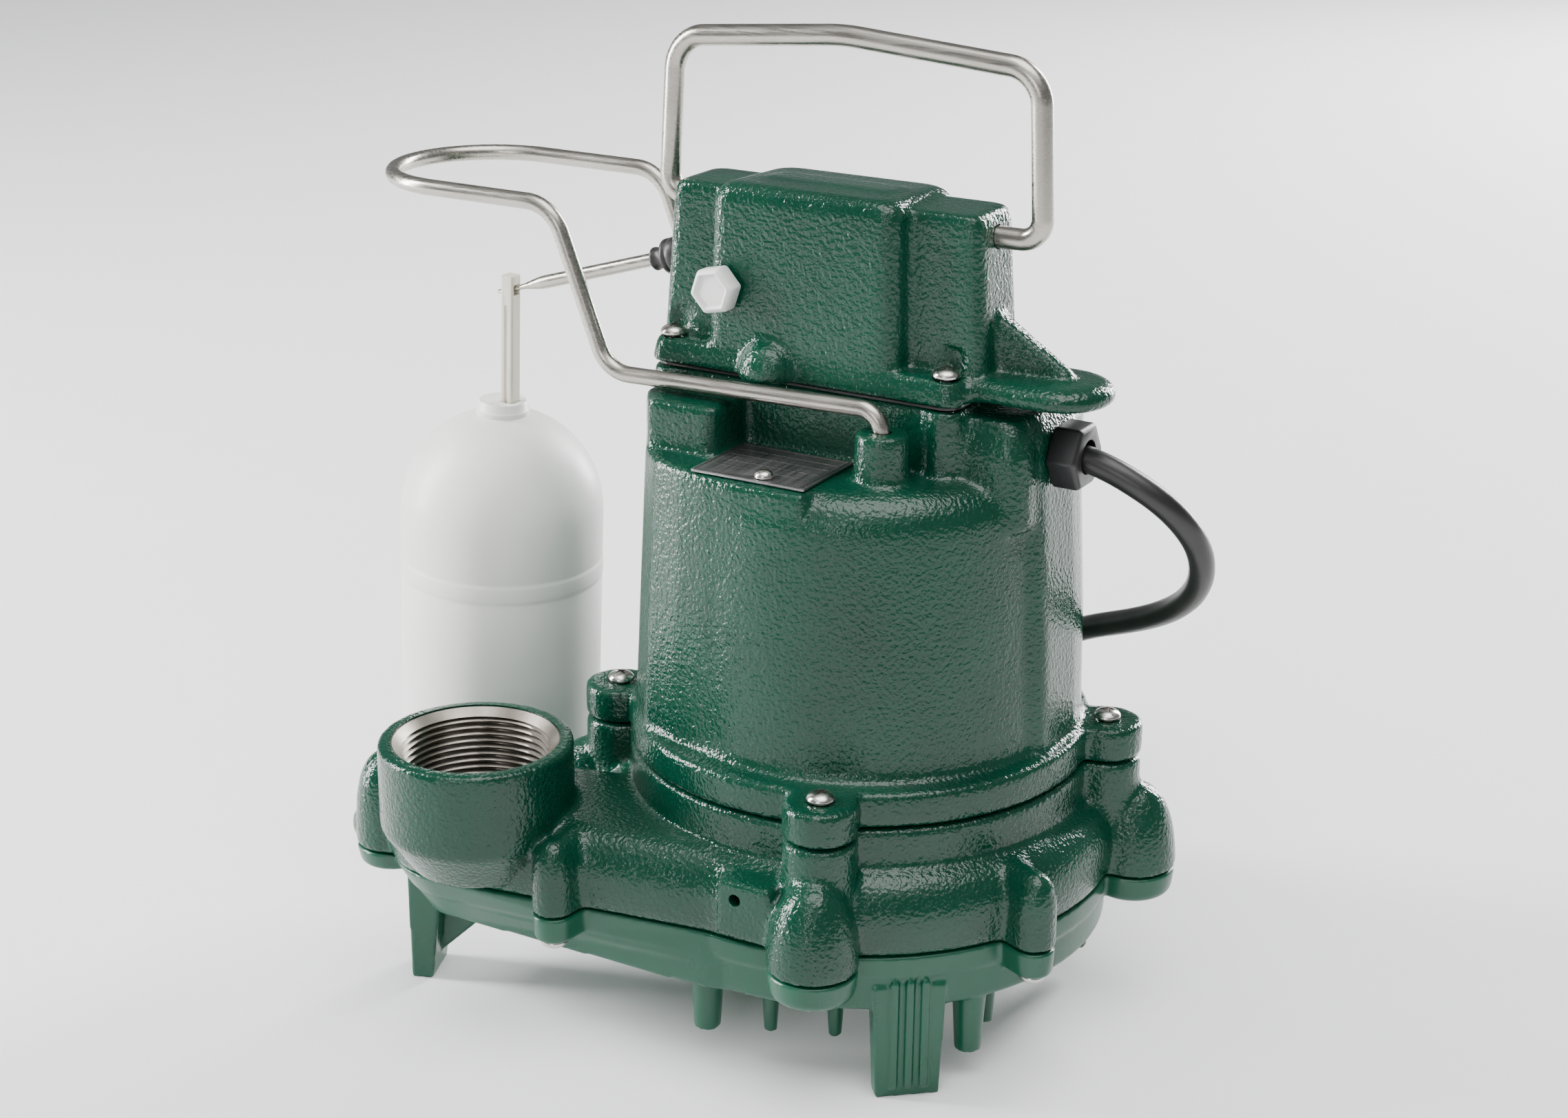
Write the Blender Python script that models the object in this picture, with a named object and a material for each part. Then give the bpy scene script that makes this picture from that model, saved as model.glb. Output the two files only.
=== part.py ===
"""Submersible sump pump with a float switch.

All dimensions below are millimetres, measured from the motor shaft's axis in plan and from the floor
in height. X runs along the switch case, the nameplate side faces -Y, and +Z is up. Meshes are made in
metres. The empty "pump" sets the shaft's place in the world, so that the middle of the pump's outer
box stands at the origin.
"""

import math

import bmesh
import bpy
from mathutils import Matrix, Vector

MM = 0.001
GAP = 0.3                      # clearance kept between neighbouring pieces

# Place of the shaft's axis in the world
SHAFT_X = 35.8
SHAFT_Y = 7.6

# Heights of the main levels
FOOT_Z = 0.0                   # soles of the legs
PAN_Z = 28.0                   # underside of the base pan
FLANGE_Z = 37.5                # underside of the base's upper flange
BASE_TOP_Z = 46.0              # joint of the base and the pump housing
VOLUTE_Z = 70.5                # top of the volute's shoulder
SEAM_Z = 82.7                  # joint of the pump housing and the motor housing
SEAT_Z = 93.7                  # seats of the motor housing's screws
LEDGE_Z = 178.0                # top of the motor barrel, where the nameplate lies
NECK_Z = 197.9                 # top of the motor housing's neck
CASE_Z = 199.2                 # underside of the switch case
CASE_SEAT_Z = 206.9            # seats of the switch case's screws
CASE_TOP_Z = 255.4

# Radii about the shaft
PAN_R = 78.4
VOLUTE_R = 81.0
RING_R = 71.0                  # flanges on both sides of the seam
BARREL_FOOT_R = 63.6
BARREL_TOP_R = 60.2
BARREL_SHOULDER_R = 12.0       # rounding of the barrel's upper edge
STATOR_R = 54.0
SHAFT_R = 6.35
SCREW_CIRCLE_R = 76.0          # motor housing screws
BOSS_CIRCLE_R = 86.0           # base screws
SCREW_ANGLES = (-160.2, -70.2, 19.8, 109.8)

# Screws: shank radius, the clear hole round it, and how deep the tips reach
SHANK_R = 2.0
SCREW_HOLE_R = 2.4
HEAD_R = 4.2
HEAD_HEIGHT = 2.7
BASE_SCREW_TIP_Z = 57.0
MOTOR_SCREW_TIP_Z = 72.0
CASE_SCREW_TIP_Z = 188.0

# Discharge and the outlet passage that leads to it
DISCHARGE = (-87.7, -80.7)
DISCHARGE_RIM_Z = 90.7
DISCHARGE_R = 29.5
THREAD_R = 22.2                # minor radius of the 1-1/2 inch pipe thread
CHAMFER_R = 25.1
OUTLET_END = (-100.0, -70.0)   # centre of the outlet passage's round end
OUTLET_END_R = 24.6
OUTLET_BOSS = (-124.0, -76.0)
OUTLET_BOSS_SEAT_Z = 40.0
VENT = (5.3, 62.5)             # the air-bleed hole's place along X and its height

# Legs and the strainer pegs under the pan
LEG_ANGLES = (-50.3, 90.0)
LEG_OUTER_R = 78.8
OUTLET_LEG = (-118.0, -78.0)   # outer front corner of the leg under the outlet
OUTLET_LEG_TURN = 20.0
INLET_R = 22.0
PEG_SOLE_Z = 9.0
# Strainer pegs: angle, distance from the shaft, radius
PEGS = ((-101.0, 70.0, 4.6), (-86.0, 61.5, 2.6), (-67.5, 58.5, 2.6), (-34.0, 72.0, 4.6), (-22.0, 62.0, 2.6),
        (30.0, 70.0, 4.6), (118.0, 61.0, 2.6), (140.0, 70.0, 4.6), (-150.0, 70.0, 4.6))

# Switch case, whose middle stands a little to the front of the shaft
CASE_X = -9.6
CASE_Y = -3.2
CASE_HALF_X = 50.6
CASE_HALF_Y = 21.3
CASE_FALL = 1.8                # how much lower the roof is at the back
BLOCK_HALF_X = 32.0
END_HALF_X = 54.2
END_HALF_Y = 13.0
END_TOP_Z = 252.4
END_DRAFT = 3.6
CASE_SCREW_X = 45.3
CASE_SCREW_Y = 16.6
WALL = 4.0
LOBE_TIP_X = 79.5
CASE_PLUG = (-35.5, 224.6)     # white plug's place along X and its height
CASE_PLUG_SHANK_R = 4.0

# Nameplate
PLATE_CENTRE = (-8.7, -40.7)
PLATE_HALF = (18.6, 14.9)
PLATE_THICKNESS = 0.8
RIVET = (-5.1, -51.6)
RIVET_HOLE_R = 1.6

# Carry handle
HANDLE_Z = 245.0
HANDLE_R = 3.175
HANDLE_X = -5.2
HANDLE_HALF = 61.5
HANDLE_STUB_X = 42.6           # how far from the middle the stubs' ends stand

# Float guard
GUARD_R = 2.5
GUARD_Y = -4.0
GUARD_HALF = 29.9
GUARD_LOW_Z = 196.2
GUARD_HIGH_Z = 244.6
GUARD_SOCKET_X = 22.9
GUARD_TIP_X = -132.6
GUARD_END_Z = 182.0

# Switch arm, its boot, the float and the snap switch
ARM_PIVOT = (-63.6, CASE_Y, 226.6)
ARM_R = 2.1
ARM_INNER = (15.6, 0.0, 2.0)   # inner end, from the pivot
FLOAT_PIN = (-126.2, CASE_Y, 207.4)
FLOAT_LEAN = 2.1               # degrees that the float and its rod lean off the plumb line
ROD_X = FLOAT_PIN[0] - 0.2
FLOAT_X = FLOAT_PIN[0] - 3.1
FLOAT_R = 33.0
FLOAT_TOP_Z = 167.5
FLOAT_BOTTOM_Z = 52.0
FLOAT_SEAM_Z = 112.0
ROD_HALF_X = 2.3
ROD_HALF_Y = 2.5
SNAP_SWITCH_TOP_Z = 218.0
PLUNGER = (-50.0, CASE_Y)
PLUNGER_R = 1.8
PLUNGER_LOW_Z = 210.0
PLUNGER_TOP_Z = 225.9

# Gland and cord
GLAND_Y = 1.0
GLAND_Z = 183.6
GLAND_FACE_X = 62.2
GLAND_END_X = 71.5
GLAND_SHANK_R = 6.6
GLAND_NUT_R = 10.2
CORD_R = 3.9
COIL_CENTRE = (-66.0, 150.0)
COIL_R = 45.8                  # radius of the coil's middle turn
COIL_HALF = 11.7               # half the thickness of the bundle of turns

# The cord's free route, out of the gland, round behind the pump and down to the coil
CORD_ROUTE = ((68.9, 1.0, 183.4), (76.5, 1.0, 181.9), (85.0, 1.6, 178.4), (95.7, 5.0, 171.4),
              (101.9, 14.0, 159.0),
              (100.4, 24.0, 145.0), (90.9, 34.5, 130.8), (71.5, 45.5, 118.6), (51.1, 56.0, 109.6),
              (32.0, 66.5, 97.0), (17.0, 80.0, 79.5), (6.0, 96.0, 59.5), (-2.5, 113.0, 42.0),
              (-8.6, 129.0, 30.4), (-11.6, 141.0, 24.8))

# The grounded plug, lying where the cord leaves the coil: its front face, axis and half sizes
PLUG_TAIL_X = -97.4
PLUG_FACE_X = -138.0
PLUG_Y = COIL_CENTRE[1] + COIL_R + 2.0 * CORD_R
PLUG_Z = 12.3
PLUG_HALF_Y = 13.4
PLUG_HALF_Z = 12.0
BLADE_REACH = 17.5

# How finely the round pieces are divided
VOLUTE_SIDES = 36
BARREL_SIDES = 40
BOSS_SIDES = 12

COLOURS = {
    "cast_green": ((0.010, 0.105, 0.060), 0.30, 0.0),
    "plastic_green": ((0.012, 0.130, 0.075), 0.38, 0.0),
    "steel": ((0.60, 0.59, 0.56), 0.25, 1.0),
    "dark_steel": ((0.28, 0.28, 0.29), 0.40, 1.0),
    "brass": ((0.72, 0.52, 0.22), 0.30, 1.0),
    "bronze": ((0.50, 0.30, 0.14), 0.42, 1.0),
    "copper": ((0.72, 0.33, 0.16), 0.35, 1.0),
    "rubber": ((0.015, 0.015, 0.016), 0.65, 0.0),
    "black_plastic": ((0.020, 0.020, 0.022), 0.45, 0.0),
    "white_plastic": ((0.80, 0.81, 0.79), 0.40, 0.0),
    "float_plastic": ((0.82, 0.83, 0.81), 0.45, 0.0),
    "rod_plastic": ((0.78, 0.74, 0.62), 0.35, 0.0),
    "ceramic": ((0.75, 0.74, 0.70), 0.35, 0.0),
    "plate": ((0.45, 0.44, 0.45), 0.35, 1.0),
}


# ---------------------------------------------------------------- helpers

def clear_scene():
    for item in list(bpy.data.objects):
        bpy.data.objects.remove(item, do_unlink=True)


def material(kind):
    made = bpy.data.materials.get(kind)
    if made:
        return made
    colour, roughness, metallic = COLOURS[kind]
    made = bpy.data.materials.new(kind)
    made.use_nodes = True
    surface = made.node_tree.nodes["Principled BSDF"]
    surface.inputs["Base Color"].default_value = (*colour, 1.0)
    surface.inputs["Roughness"].default_value = roughness
    surface.inputs["Metallic"].default_value = metallic
    return made


def arc(centre, radius, start, end, steps):
    """Points on an arc in plan, angles in degrees, both ends included."""
    angles = [math.radians(start + (end - start) * i / steps) for i in range(steps + 1)]
    return [(centre[0] + radius * math.cos(a), centre[1] + radius * math.sin(a)) for a in angles]


def circle(centre, radius, sides):
    return arc(centre, radius, 0.0, 360.0 * (sides - 1) / sides, sides - 1)


def rounded_rectangle(centre, half_x, half_y, radius, steps):
    points = []
    for number, (sx, sy) in enumerate(((1, 1), (-1, 1), (-1, -1), (1, -1))):
        corner = (centre[0] + sx * (half_x - radius), centre[1] + sy * (half_y - radius))
        points += arc(corner, radius, 90.0 * number, 90.0 * number + 90.0, steps)
    return points


def polar(radius, degrees):
    angle = math.radians(degrees)
    return (radius * math.cos(angle), radius * math.sin(angle))


def loft(rings):
    """Closed solid through rings of (x, y, z) points; a ring of one point makes a tip."""
    solid = bmesh.new()
    rows = [[solid.verts.new(Vector(point) * MM) for point in ring] for ring in rings]
    for lower, upper in zip(rows, rows[1:]):
        count = max(len(lower), len(upper))
        for i in range(count):
            j = (i + 1) % count
            corners = [lower[i % len(lower)], lower[j % len(lower)],
                       upper[j % len(upper)], upper[i % len(upper)]]
            face = list(dict.fromkeys(corners))
            solid.faces.new(face)
    for row in (rows[0], rows[-1]):
        if len(row) > 2:
            solid.faces.new(row)
    bmesh.ops.recalc_face_normals(solid, faces=solid.faces)
    mesh = bpy.data.meshes.new("solid")
    solid.to_mesh(mesh)
    solid.free()
    made = bpy.data.objects.new("solid", mesh)
    bpy.context.scene.collection.objects.link(made)
    return made


def prism(outline, low, high):
    return loft([[(x, y, low) for x, y in outline], [(x, y, high) for x, y in outline]])


def stacked(outline_at, levels):
    """Solid whose outline at each (z, value) level is outline_at(value)."""
    return loft([[(x, y, z) for x, y in outline_at(value)] for z, value in levels])


def box(low, high):
    outline = [(low[0], low[1]), (high[0], low[1]), (high[0], high[1]), (low[0], high[1])]
    return prism(outline, low[2], high[2])


def turned(profile, sides, centre=(0.0, 0.0)):
    """Solid turned about a vertical axis from (radius, z) points, bottom to top."""
    rings = []
    for radius, z in profile:
        if radius == 0.0:
            rings.append([(centre[0], centre[1], z)])
        else:
            rings.append([(x, y, z) for x, y in circle(centre, radius, sides)])
    return loft(rings)


def cylinder(centre, radius, low, high, sides):
    return turned([(radius, low), (radius, high)], sides, centre)


def turned_ring(profile, sides, centre=(0.0, 0.0)):
    """Ring turned about a vertical axis from a closed outline of (radius, z) points."""
    solid = bmesh.new()
    rows = []
    for step in range(sides):
        angle = math.tau * step / sides
        rows.append([solid.verts.new(Vector((centre[0] + r * math.cos(angle),
                                             centre[1] + r * math.sin(angle), z)) * MM)
                     for r, z in profile])
    for step in range(sides):
        here = rows[step]
        there = rows[(step + 1) % sides]
        for i in range(len(profile)):
            j = (i + 1) % len(profile)
            solid.faces.new((here[i], here[j], there[j], there[i]))
    bmesh.ops.recalc_face_normals(solid, faces=solid.faces)
    mesh = bpy.data.meshes.new("ring")
    solid.to_mesh(mesh)
    solid.free()
    made = bpy.data.objects.new("ring", mesh)
    bpy.context.scene.collection.objects.link(made)
    return made


def washer_outline(inner, outer, low, high):
    return [(inner, low), (outer, low), (outer, high), (inner, high)]


def transformed(solid, matrix):
    """Moves a solid's mesh by a matrix whose translation is in millimetres."""
    scaled = matrix.copy()
    scaled.translation = matrix.translation * MM
    solid.data.transform(scaled)
    return solid


def combine(base, tools, operation):
    for tool in tools:
        change = base.modifiers.new("combine", "BOOLEAN")
        change.operation = operation
        change.solver = "EXACT"
        change.object = tool
        graph = bpy.context.evaluated_depsgraph_get()
        mesh = bpy.data.meshes.new_from_object(base.evaluated_get(graph))
        base.modifiers.clear()
        base.data = mesh
        bpy.data.objects.remove(tool, do_unlink=True)
    return base


def fuse(base, *tools):
    return combine(base, tools, "UNION")


def cut(base, *tools):
    return combine(base, tools, "DIFFERENCE")


def bevelled(solid, width, segments=1, angle=40.0):
    """Rounds a solid's sharp edges."""
    change = solid.modifiers.new("bevel", "BEVEL")
    change.width = width * MM
    change.segments = segments
    change.limit_method = "ANGLE"
    change.angle_limit = math.radians(angle)
    change.harden_normals = False
    graph = bpy.context.evaluated_depsgraph_get()
    mesh = bpy.data.meshes.new_from_object(solid.evaluated_get(graph))
    solid.modifiers.clear()
    solid.data = mesh
    return solid


def finish(solid, name, kind, origin=None, smooth=True):
    """Names a solid, hangs it on the pump's empty and puts its origin on its own reference point."""
    solid.name = name
    solid.data.name = name
    place = Vector(origin or (0.0, 0.0, 0.0)) * MM
    if origin:
        solid.data.transform(Matrix.Translation(-place))
    solid.location = place
    solid.parent = bpy.data.objects["pump"]
    solid.data.materials.clear()
    solid.data.materials.append(material(kind))
    if smooth:
        solid.data.shade_smooth()
        solid.data.set_sharp_from_angle(angle=math.radians(35.0))
    return solid


def rounded_path(corners, steps):
    """Centre line through (point, bend radius) corners, each bend drawn as an arc."""
    points = [Vector(corners[0][0])]
    for before, here, after in zip(corners, corners[1:], corners[2:]):
        corner, radius = Vector(here[0]), here[1]
        inward = (Vector(before[0]) - corner).normalized()
        outward = (Vector(after[0]) - corner).normalized()
        turn = math.pi - inward.angle(outward)
        reach = radius * math.tan(turn / 2.0)
        first, last = corner + inward * reach, corner + outward * reach
        centre = corner + (inward + outward).normalized() * (radius / math.cos(turn / 2.0))
        spoke_a, spoke_b = first - centre, last - centre
        for i in range(steps + 1):
            share = i / steps
            weight_a = math.sin((1.0 - share) * turn) / math.sin(turn)
            weight_b = math.sin(share * turn) / math.sin(turn)
            points.append(centre + spoke_a * weight_a + spoke_b * weight_b)
    points.append(Vector(corners[-1][0]))
    return points


def smooth_route(points, spacing):
    """Evenly spaced points on a smooth curve through the route's points."""
    knots = [Vector(point) for point in points]
    knots = [knots[0] * 2.0 - knots[1]] + knots + [knots[-1] * 2.0 - knots[-2]]
    fine = []
    for a, b, c, d in zip(knots, knots[1:], knots[2:], knots[3:]):
        for i in range(24):
            t = i / 24.0
            fine.append(0.5 * (2.0 * b + (c - a) * t + (2.0 * a - 5.0 * b + 4.0 * c - d) * t * t
                               + (3.0 * b - a - 3.0 * c + d) * t * t * t))
    fine.append(knots[-2])
    lengths = [0.0]
    for a, b in zip(fine, fine[1:]):
        lengths.append(lengths[-1] + (b - a).length)
    count = max(2, round(lengths[-1] / spacing))
    route = []
    index = 0
    for step in range(count + 1):
        target = lengths[-1] * step / count
        while index < len(fine) - 2 and lengths[index + 1] < target:
            index += 1
        span = lengths[index + 1] - lengths[index]
        route.append(fine[index].lerp(fine[index + 1], min(1.0, (target - lengths[index]) / span)))
    return route


def wire(name, points, radius, resolution, kind, origin=None):
    """Round bar along a path, with flat closed ends."""
    curve = bpy.data.curves.new(name, "CURVE")
    curve.dimensions = "3D"
    curve.bevel_depth = radius * MM
    curve.bevel_resolution = resolution
    curve.use_fill_caps = True
    spline = curve.splines.new("POLY")
    spline.points.add(len(points) - 1)
    start = Vector(origin or (0.0, 0.0, 0.0))
    for knot, point in zip(spline.points, points):
        knot.co = (*((point - start) * MM), 1.0)
    made = bpy.data.objects.new(name, curve)
    bpy.context.scene.collection.objects.link(made)
    made.location = start * MM
    made.parent = bpy.data.objects["pump"]
    curve.materials.append(material(kind))
    return made


# ---------------------------------------------------------------- pump housing and base

# Rounded side of the volute: height, and how far its outline stands in from the full one
VOLUTE_SIDE = ((BASE_TOP_Z + GAP, -1.8), (52.0, -0.3), (58.0, 0.0), (64.0, -1.8), (68.0, -5.0),
               (VOLUTE_Z, -9.5))

# Small bosses: centre and the direction back into the wall
SMALL_BOSSES = ((polar(BOSS_CIRCLE_R, -25.2), polar(-1.0, -25.2)),
                (polar(BOSS_CIRCLE_R, 64.8), polar(-1.0, 64.8)),
                ((-53.5, -90.5), (0.1, 0.995)))


def volute_outline(offset):
    return circle((0.0, 0.0), VOLUTE_R + offset, VOLUTE_SIDES)


def outlet_outline(offset, inner_offset=None):
    """Plan of the volute's outlet passage: a round end joined to a wider round by its tangents."""
    inner, inner_r = (-12.0, -50.0), 31.0 + (offset if inner_offset is None else inner_offset)
    outer, outer_r = OUTLET_END, OUTLET_END_R + offset
    along = math.degrees(math.atan2(outer[1] - inner[1], outer[0] - inner[0]))
    distance = math.hypot(outer[0] - inner[0], outer[1] - inner[1])
    spread = math.degrees(math.acos((inner_r - outer_r) / distance))
    end = arc(outer, outer_r, along - spread, along + spread, 12)
    start = arc(inner, inner_r, along + spread, along + 360.0 - spread, 8)
    return end + start


def big_boss(angle):
    profile = [(13.5, BASE_TOP_Z + GAP), (12.4, 58.0), (9.6, 66.5), (5.0, 71.8), (0.0, 72.8)]
    return turned(profile, BOSS_SIDES, polar(BOSS_CIRCLE_R, angle))


def tongue(centre, inward, radius, reach):
    """Plan of a boss whose parallel sides run back into the wall."""
    back = math.degrees(math.atan2(inward[1], inward[0]))
    outer = arc(centre, radius, back + 90.0, back + 270.0, 6)
    root = (centre[0] + inward[0] * reach, centre[1] + inward[1] * reach)
    return outer + arc(root, radius, back - 90.0, back + 90.0, 2)


def small_boss(centre, inward, levels):
    return stacked(lambda radius: tongue(centre, inward, radius, 12.0), levels)


def base_screw_places():
    """Centres and seat heights of the screws that hold the base, round the volute and its outlet."""
    places = [(polar(BOSS_CIRCLE_R, angle), FLANGE_Z) for angle in SCREW_ANGLES]
    places += [(centre, FLANGE_Z) for centre, _ in SMALL_BOSSES]
    places.append((OUTLET_BOSS, OUTLET_BOSS_SEAT_Z))
    return places


def pump_housing():
    """Volute with its outlet passage, discharge neck, bosses and the seat of the lower bearing."""
    top = SEAM_Z - GAP / 2.0
    body = fuse(stacked(volute_outline, VOLUTE_SIDE), stacked(outlet_outline, VOLUTE_SIDE))
    body = fuse(body, cylinder((0.0, 0.0), RING_R, 60.0, top, VOLUTE_SIDES))
    discharge = turned([(20.0, 50.0), (DISCHARGE_R, 64.0), (DISCHARGE_R, 88.9),
                        (DISCHARGE_R - 1.2, DISCHARGE_RIM_Z)],
                       32, DISCHARGE)
    body = fuse(body, discharge)
    for angle in SCREW_ANGLES:
        screw_boss = cylinder(polar(SCREW_CIRCLE_R, angle), 10.9, 62.0, top, 16)
        body = fuse(body, screw_boss, big_boss(angle))
    boss_levels = ((BASE_TOP_Z + GAP, 6.5), (60.0, 6.3), (65.5, 5.2), (68.6, 2.6))
    for centre, inward in SMALL_BOSSES:
        body = fuse(body, small_boss(centre, inward, boss_levels))
    outlet_boss = turned([(11.8, BASE_TOP_Z + GAP), (11.3, 60.0), (9.6, 70.0), (6.0, 75.4), (0.0, 77.0)],
                         16, OUTLET_BOSS)
    nub = turned([(2.2, 48.5), (2.0, 52.5), (0.0, 55.5)], 8, (-135.4, -79.5))
    vent_pad = box((VENT[0] - 6.5, -84.6, BASE_TOP_Z + 4.0), (VENT[0] + 11.5, -60.0, 68.0))
    body = fuse(body, outlet_boss, nub, vent_pad)

    low = BASE_TOP_Z - 5.0
    chamber = turned([(73.5, low), (73.5, 60.0), (70.0, 64.0)], 32)
    chamber = fuse(chamber, prism(outlet_outline(-7.0), low, 60.0))
    bore = turned([(THREAD_R - 3.0, 55.0), (THREAD_R, 62.0), (THREAD_R, DISCHARGE_RIM_Z - 2.9),
                   (CHAMFER_R + 0.2, DISCHARGE_RIM_Z + 0.2)], 32, DISCHARGE)
    oil_well = cylinder((0.0, 0.0), 57.0, 74.0, SEAM_Z + 5.0, 32)
    body = cut(body, chamber, bore, oil_well)
    body = fuse(body, cylinder((0.0, 0.0), 17.0, 70.0, 100.0, 24))
    seal_groove = turned_ring(washer_outline(60.6, 64.4, SEAM_Z - 2.6, SEAM_Z + 2.0), 32)
    shaft_bores = turned([(13.0, 60.0), (13.0, 77.0), (7.4, 77.0), (7.4, 81.0), (11.0, 81.0), (11.0, 104.0)],
                         24)
    vent = transformed(cylinder((0.0, 0.0), 1.9, -8.0, 16.0, 10),
                       Matrix.Translation((VENT[0], -84.0, VENT[1])) @ Matrix.Rotation(math.radians(-90.0),
                                                                                       4, "X"))
    body = cut(body, seal_groove, shaft_bores, vent)
    for place, _ in base_screw_places():
        body = cut(body, cylinder(place, SCREW_HOLE_R, BASE_TOP_Z - 3.0, BASE_SCREW_TIP_Z + 1.0, 8))
    for angle in SCREW_ANGLES:
        hole = cylinder(polar(SCREW_CIRCLE_R, angle), SCREW_HOLE_R, MOTOR_SCREW_TIP_Z - 1.0, SEAM_Z + 3.0, 8)
        body = cut(body, hole)
    return finish(body, "pump_housing", "cast_green")


def leg(angle):
    """A ribbed plate across the radius, a little narrower at its sole."""
    half_top, half_sole, back = 11.0, 9.6, LEG_OUTER_R - 8.0
    top = [(back, -half_top), (LEG_OUTER_R, -half_top), (LEG_OUTER_R, half_top), (back, half_top)]
    sole = [(back + 2.0, -half_sole), (LEG_OUTER_R, -half_sole), (LEG_OUTER_R, half_sole),
            (back + 2.0, half_sole)]
    plate = loft([[(x, y, FOOT_Z) for x, y in sole], [(x, y, PAN_Z + 8.0) for x, y in top]])
    for offset in (-4.6, 0.0, 4.6):
        rib = box((LEG_OUTER_R - 1.0, offset - 1.1, FOOT_Z + 3.0),
                  (LEG_OUTER_R + 1.2, offset + 1.1, PAN_Z + 10.0))
        plate = fuse(plate, rib)
    return transformed(plate, Matrix.Rotation(math.radians(angle), 4, "Z"))


def outlet_leg():
    """Leg under the outlet's end, upright on its outer side, with a sloping web back to the pan."""
    width, depth, top_z = 7.0, 16.0, OUTLET_BOSS_SEAT_Z + 4.0
    plate = loft([[(0.0, 0.0, FOOT_Z), (width, 0.0, FOOT_Z), (width, depth, FOOT_Z), (0.0, depth, FOOT_Z)],
                  [(0.0, -1.0, top_z), (width + 5.0, -1.0, top_z), (width + 5.0, depth + 2.0, top_z),
                   (0.0, depth + 2.0, top_z)]])
    web = loft([[(3.0, 8.0, 6.0), (width + 1.0, 8.0, 6.0), (width + 1.0, 12.0, 6.0), (3.0, 12.0, 6.0)],
                [(3.0, 8.0, PAN_Z + 4.0), (36.0, 8.0, PAN_Z + 4.0), (36.0, 12.0, PAN_Z + 4.0),
                 (3.0, 12.0, PAN_Z + 4.0)]])
    turn = Matrix.Translation((*OUTLET_LEG, 0.0)) @ Matrix.Rotation(math.radians(OUTLET_LEG_TURN), 4, "Z")
    return transformed(fuse(plate, web), turn)


def base_plate():
    """Moulded pan under the volute, with the inlet, the legs and the strainer pegs."""
    floor_z = PAN_Z + 3.6
    edge = -1.8
    pan_offset = PAN_R - VOLUTE_R
    levels = ((PAN_Z, pan_offset - 0.6), (PAN_Z + 8.0, pan_offset), (FLANGE_Z + 1.4, edge - 0.8),
              (BASE_TOP_Z, edge))
    outlet_levels = ((PAN_Z, (-13.0, -1.5)), (36.0, (-8.0, -1.2)), (38.4, (-6.0, -1.2)),
                     (BASE_TOP_Z, (edge, edge)))
    body = fuse(stacked(volute_outline, levels), stacked(lambda pair: outlet_outline(*pair), outlet_levels))
    for angle in SCREW_ANGLES:
        lobe = turned([(11.2, FLANGE_Z), (12.4, FLANGE_Z + 1.6), (13.3, BASE_TOP_Z)], 16,
                      polar(BOSS_CIRCLE_R, angle))
        body = fuse(body, lobe)
    for centre, inward in SMALL_BOSSES:
        body = fuse(body, small_boss(centre, inward, ((FLANGE_Z, 5.6), (BASE_TOP_Z, 6.4))))
    body = fuse(body, turned([(10.4, OUTLET_BOSS_SEAT_Z), (11.7, BASE_TOP_Z)], 16, OUTLET_BOSS))
    chamber = turned([(72.5, floor_z), (73.5, BASE_TOP_Z + 3.0)], 32)
    chamber = fuse(chamber, stacked(outlet_outline, ((floor_z + 4.0, -15.5), (BASE_TOP_Z + 3.0, -8.0))))
    inlet = turned([(INLET_R + 3.0, PAN_Z - 2.0), (INLET_R, PAN_Z + 2.0), (INLET_R, floor_z + 2.0)], 28)
    body = cut(body, chamber, inlet)
    for angle in LEG_ANGLES:
        body = fuse(body, leg(angle))
    body = fuse(body, outlet_leg())
    for angle, distance, radius in PEGS:
        peg = turned([(radius - 0.6, PEG_SOLE_Z), (radius + 0.6, PAN_Z + 1.5)], 8, polar(distance, angle))
        body = fuse(body, peg)
    for place, _ in base_screw_places():
        body = cut(body, cylinder(place, SCREW_HOLE_R, FLANGE_Z - 4.0, BASE_TOP_Z + 2.0, 8))
    return finish(body, "base_plate", "plastic_green")


# ---------------------------------------------------------------- motor housing

def neck_outline(inset):
    """Plan of the switch case's flange, which the gasket and the motor housing's neck share."""
    corner = 5.0 - max(0.0, min(inset, 4.0))
    return rounded_rectangle((CASE_X, CASE_Y), CASE_HALF_X - inset, CASE_HALF_Y - inset, corner, 3)


def case_screw_places():
    return [(CASE_X + sx * CASE_SCREW_X, CASE_Y + sy * CASE_SCREW_Y) for sx in (-1, 1) for sy in (-1, 1)]


def nameplate_side():
    """The fuller, flatter side of the barrel, which carries the nameplate's ledge."""
    ledge = [(11.2, -28.0), (11.2, -58.9), (2.0, -59.8), (-12.0, -59.2), (-22.0, -57.6), (-31.0, -55.6),
             (-43.0, -51.0), (-52.0, -42.0)]
    ledge += arc((0.0, 0.0), 66.2, -146.0, -206.0, 7)
    ledge.append((-30.0, 20.0))
    levels = ((92.0, 1.045), (LEDGE_Z - 1.4, 1.0), (LEDGE_Z, 0.98))
    return stacked(lambda share: [(11.2 if x > 11.0 else x * share, y * share) for x, y in ledge], levels)


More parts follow.
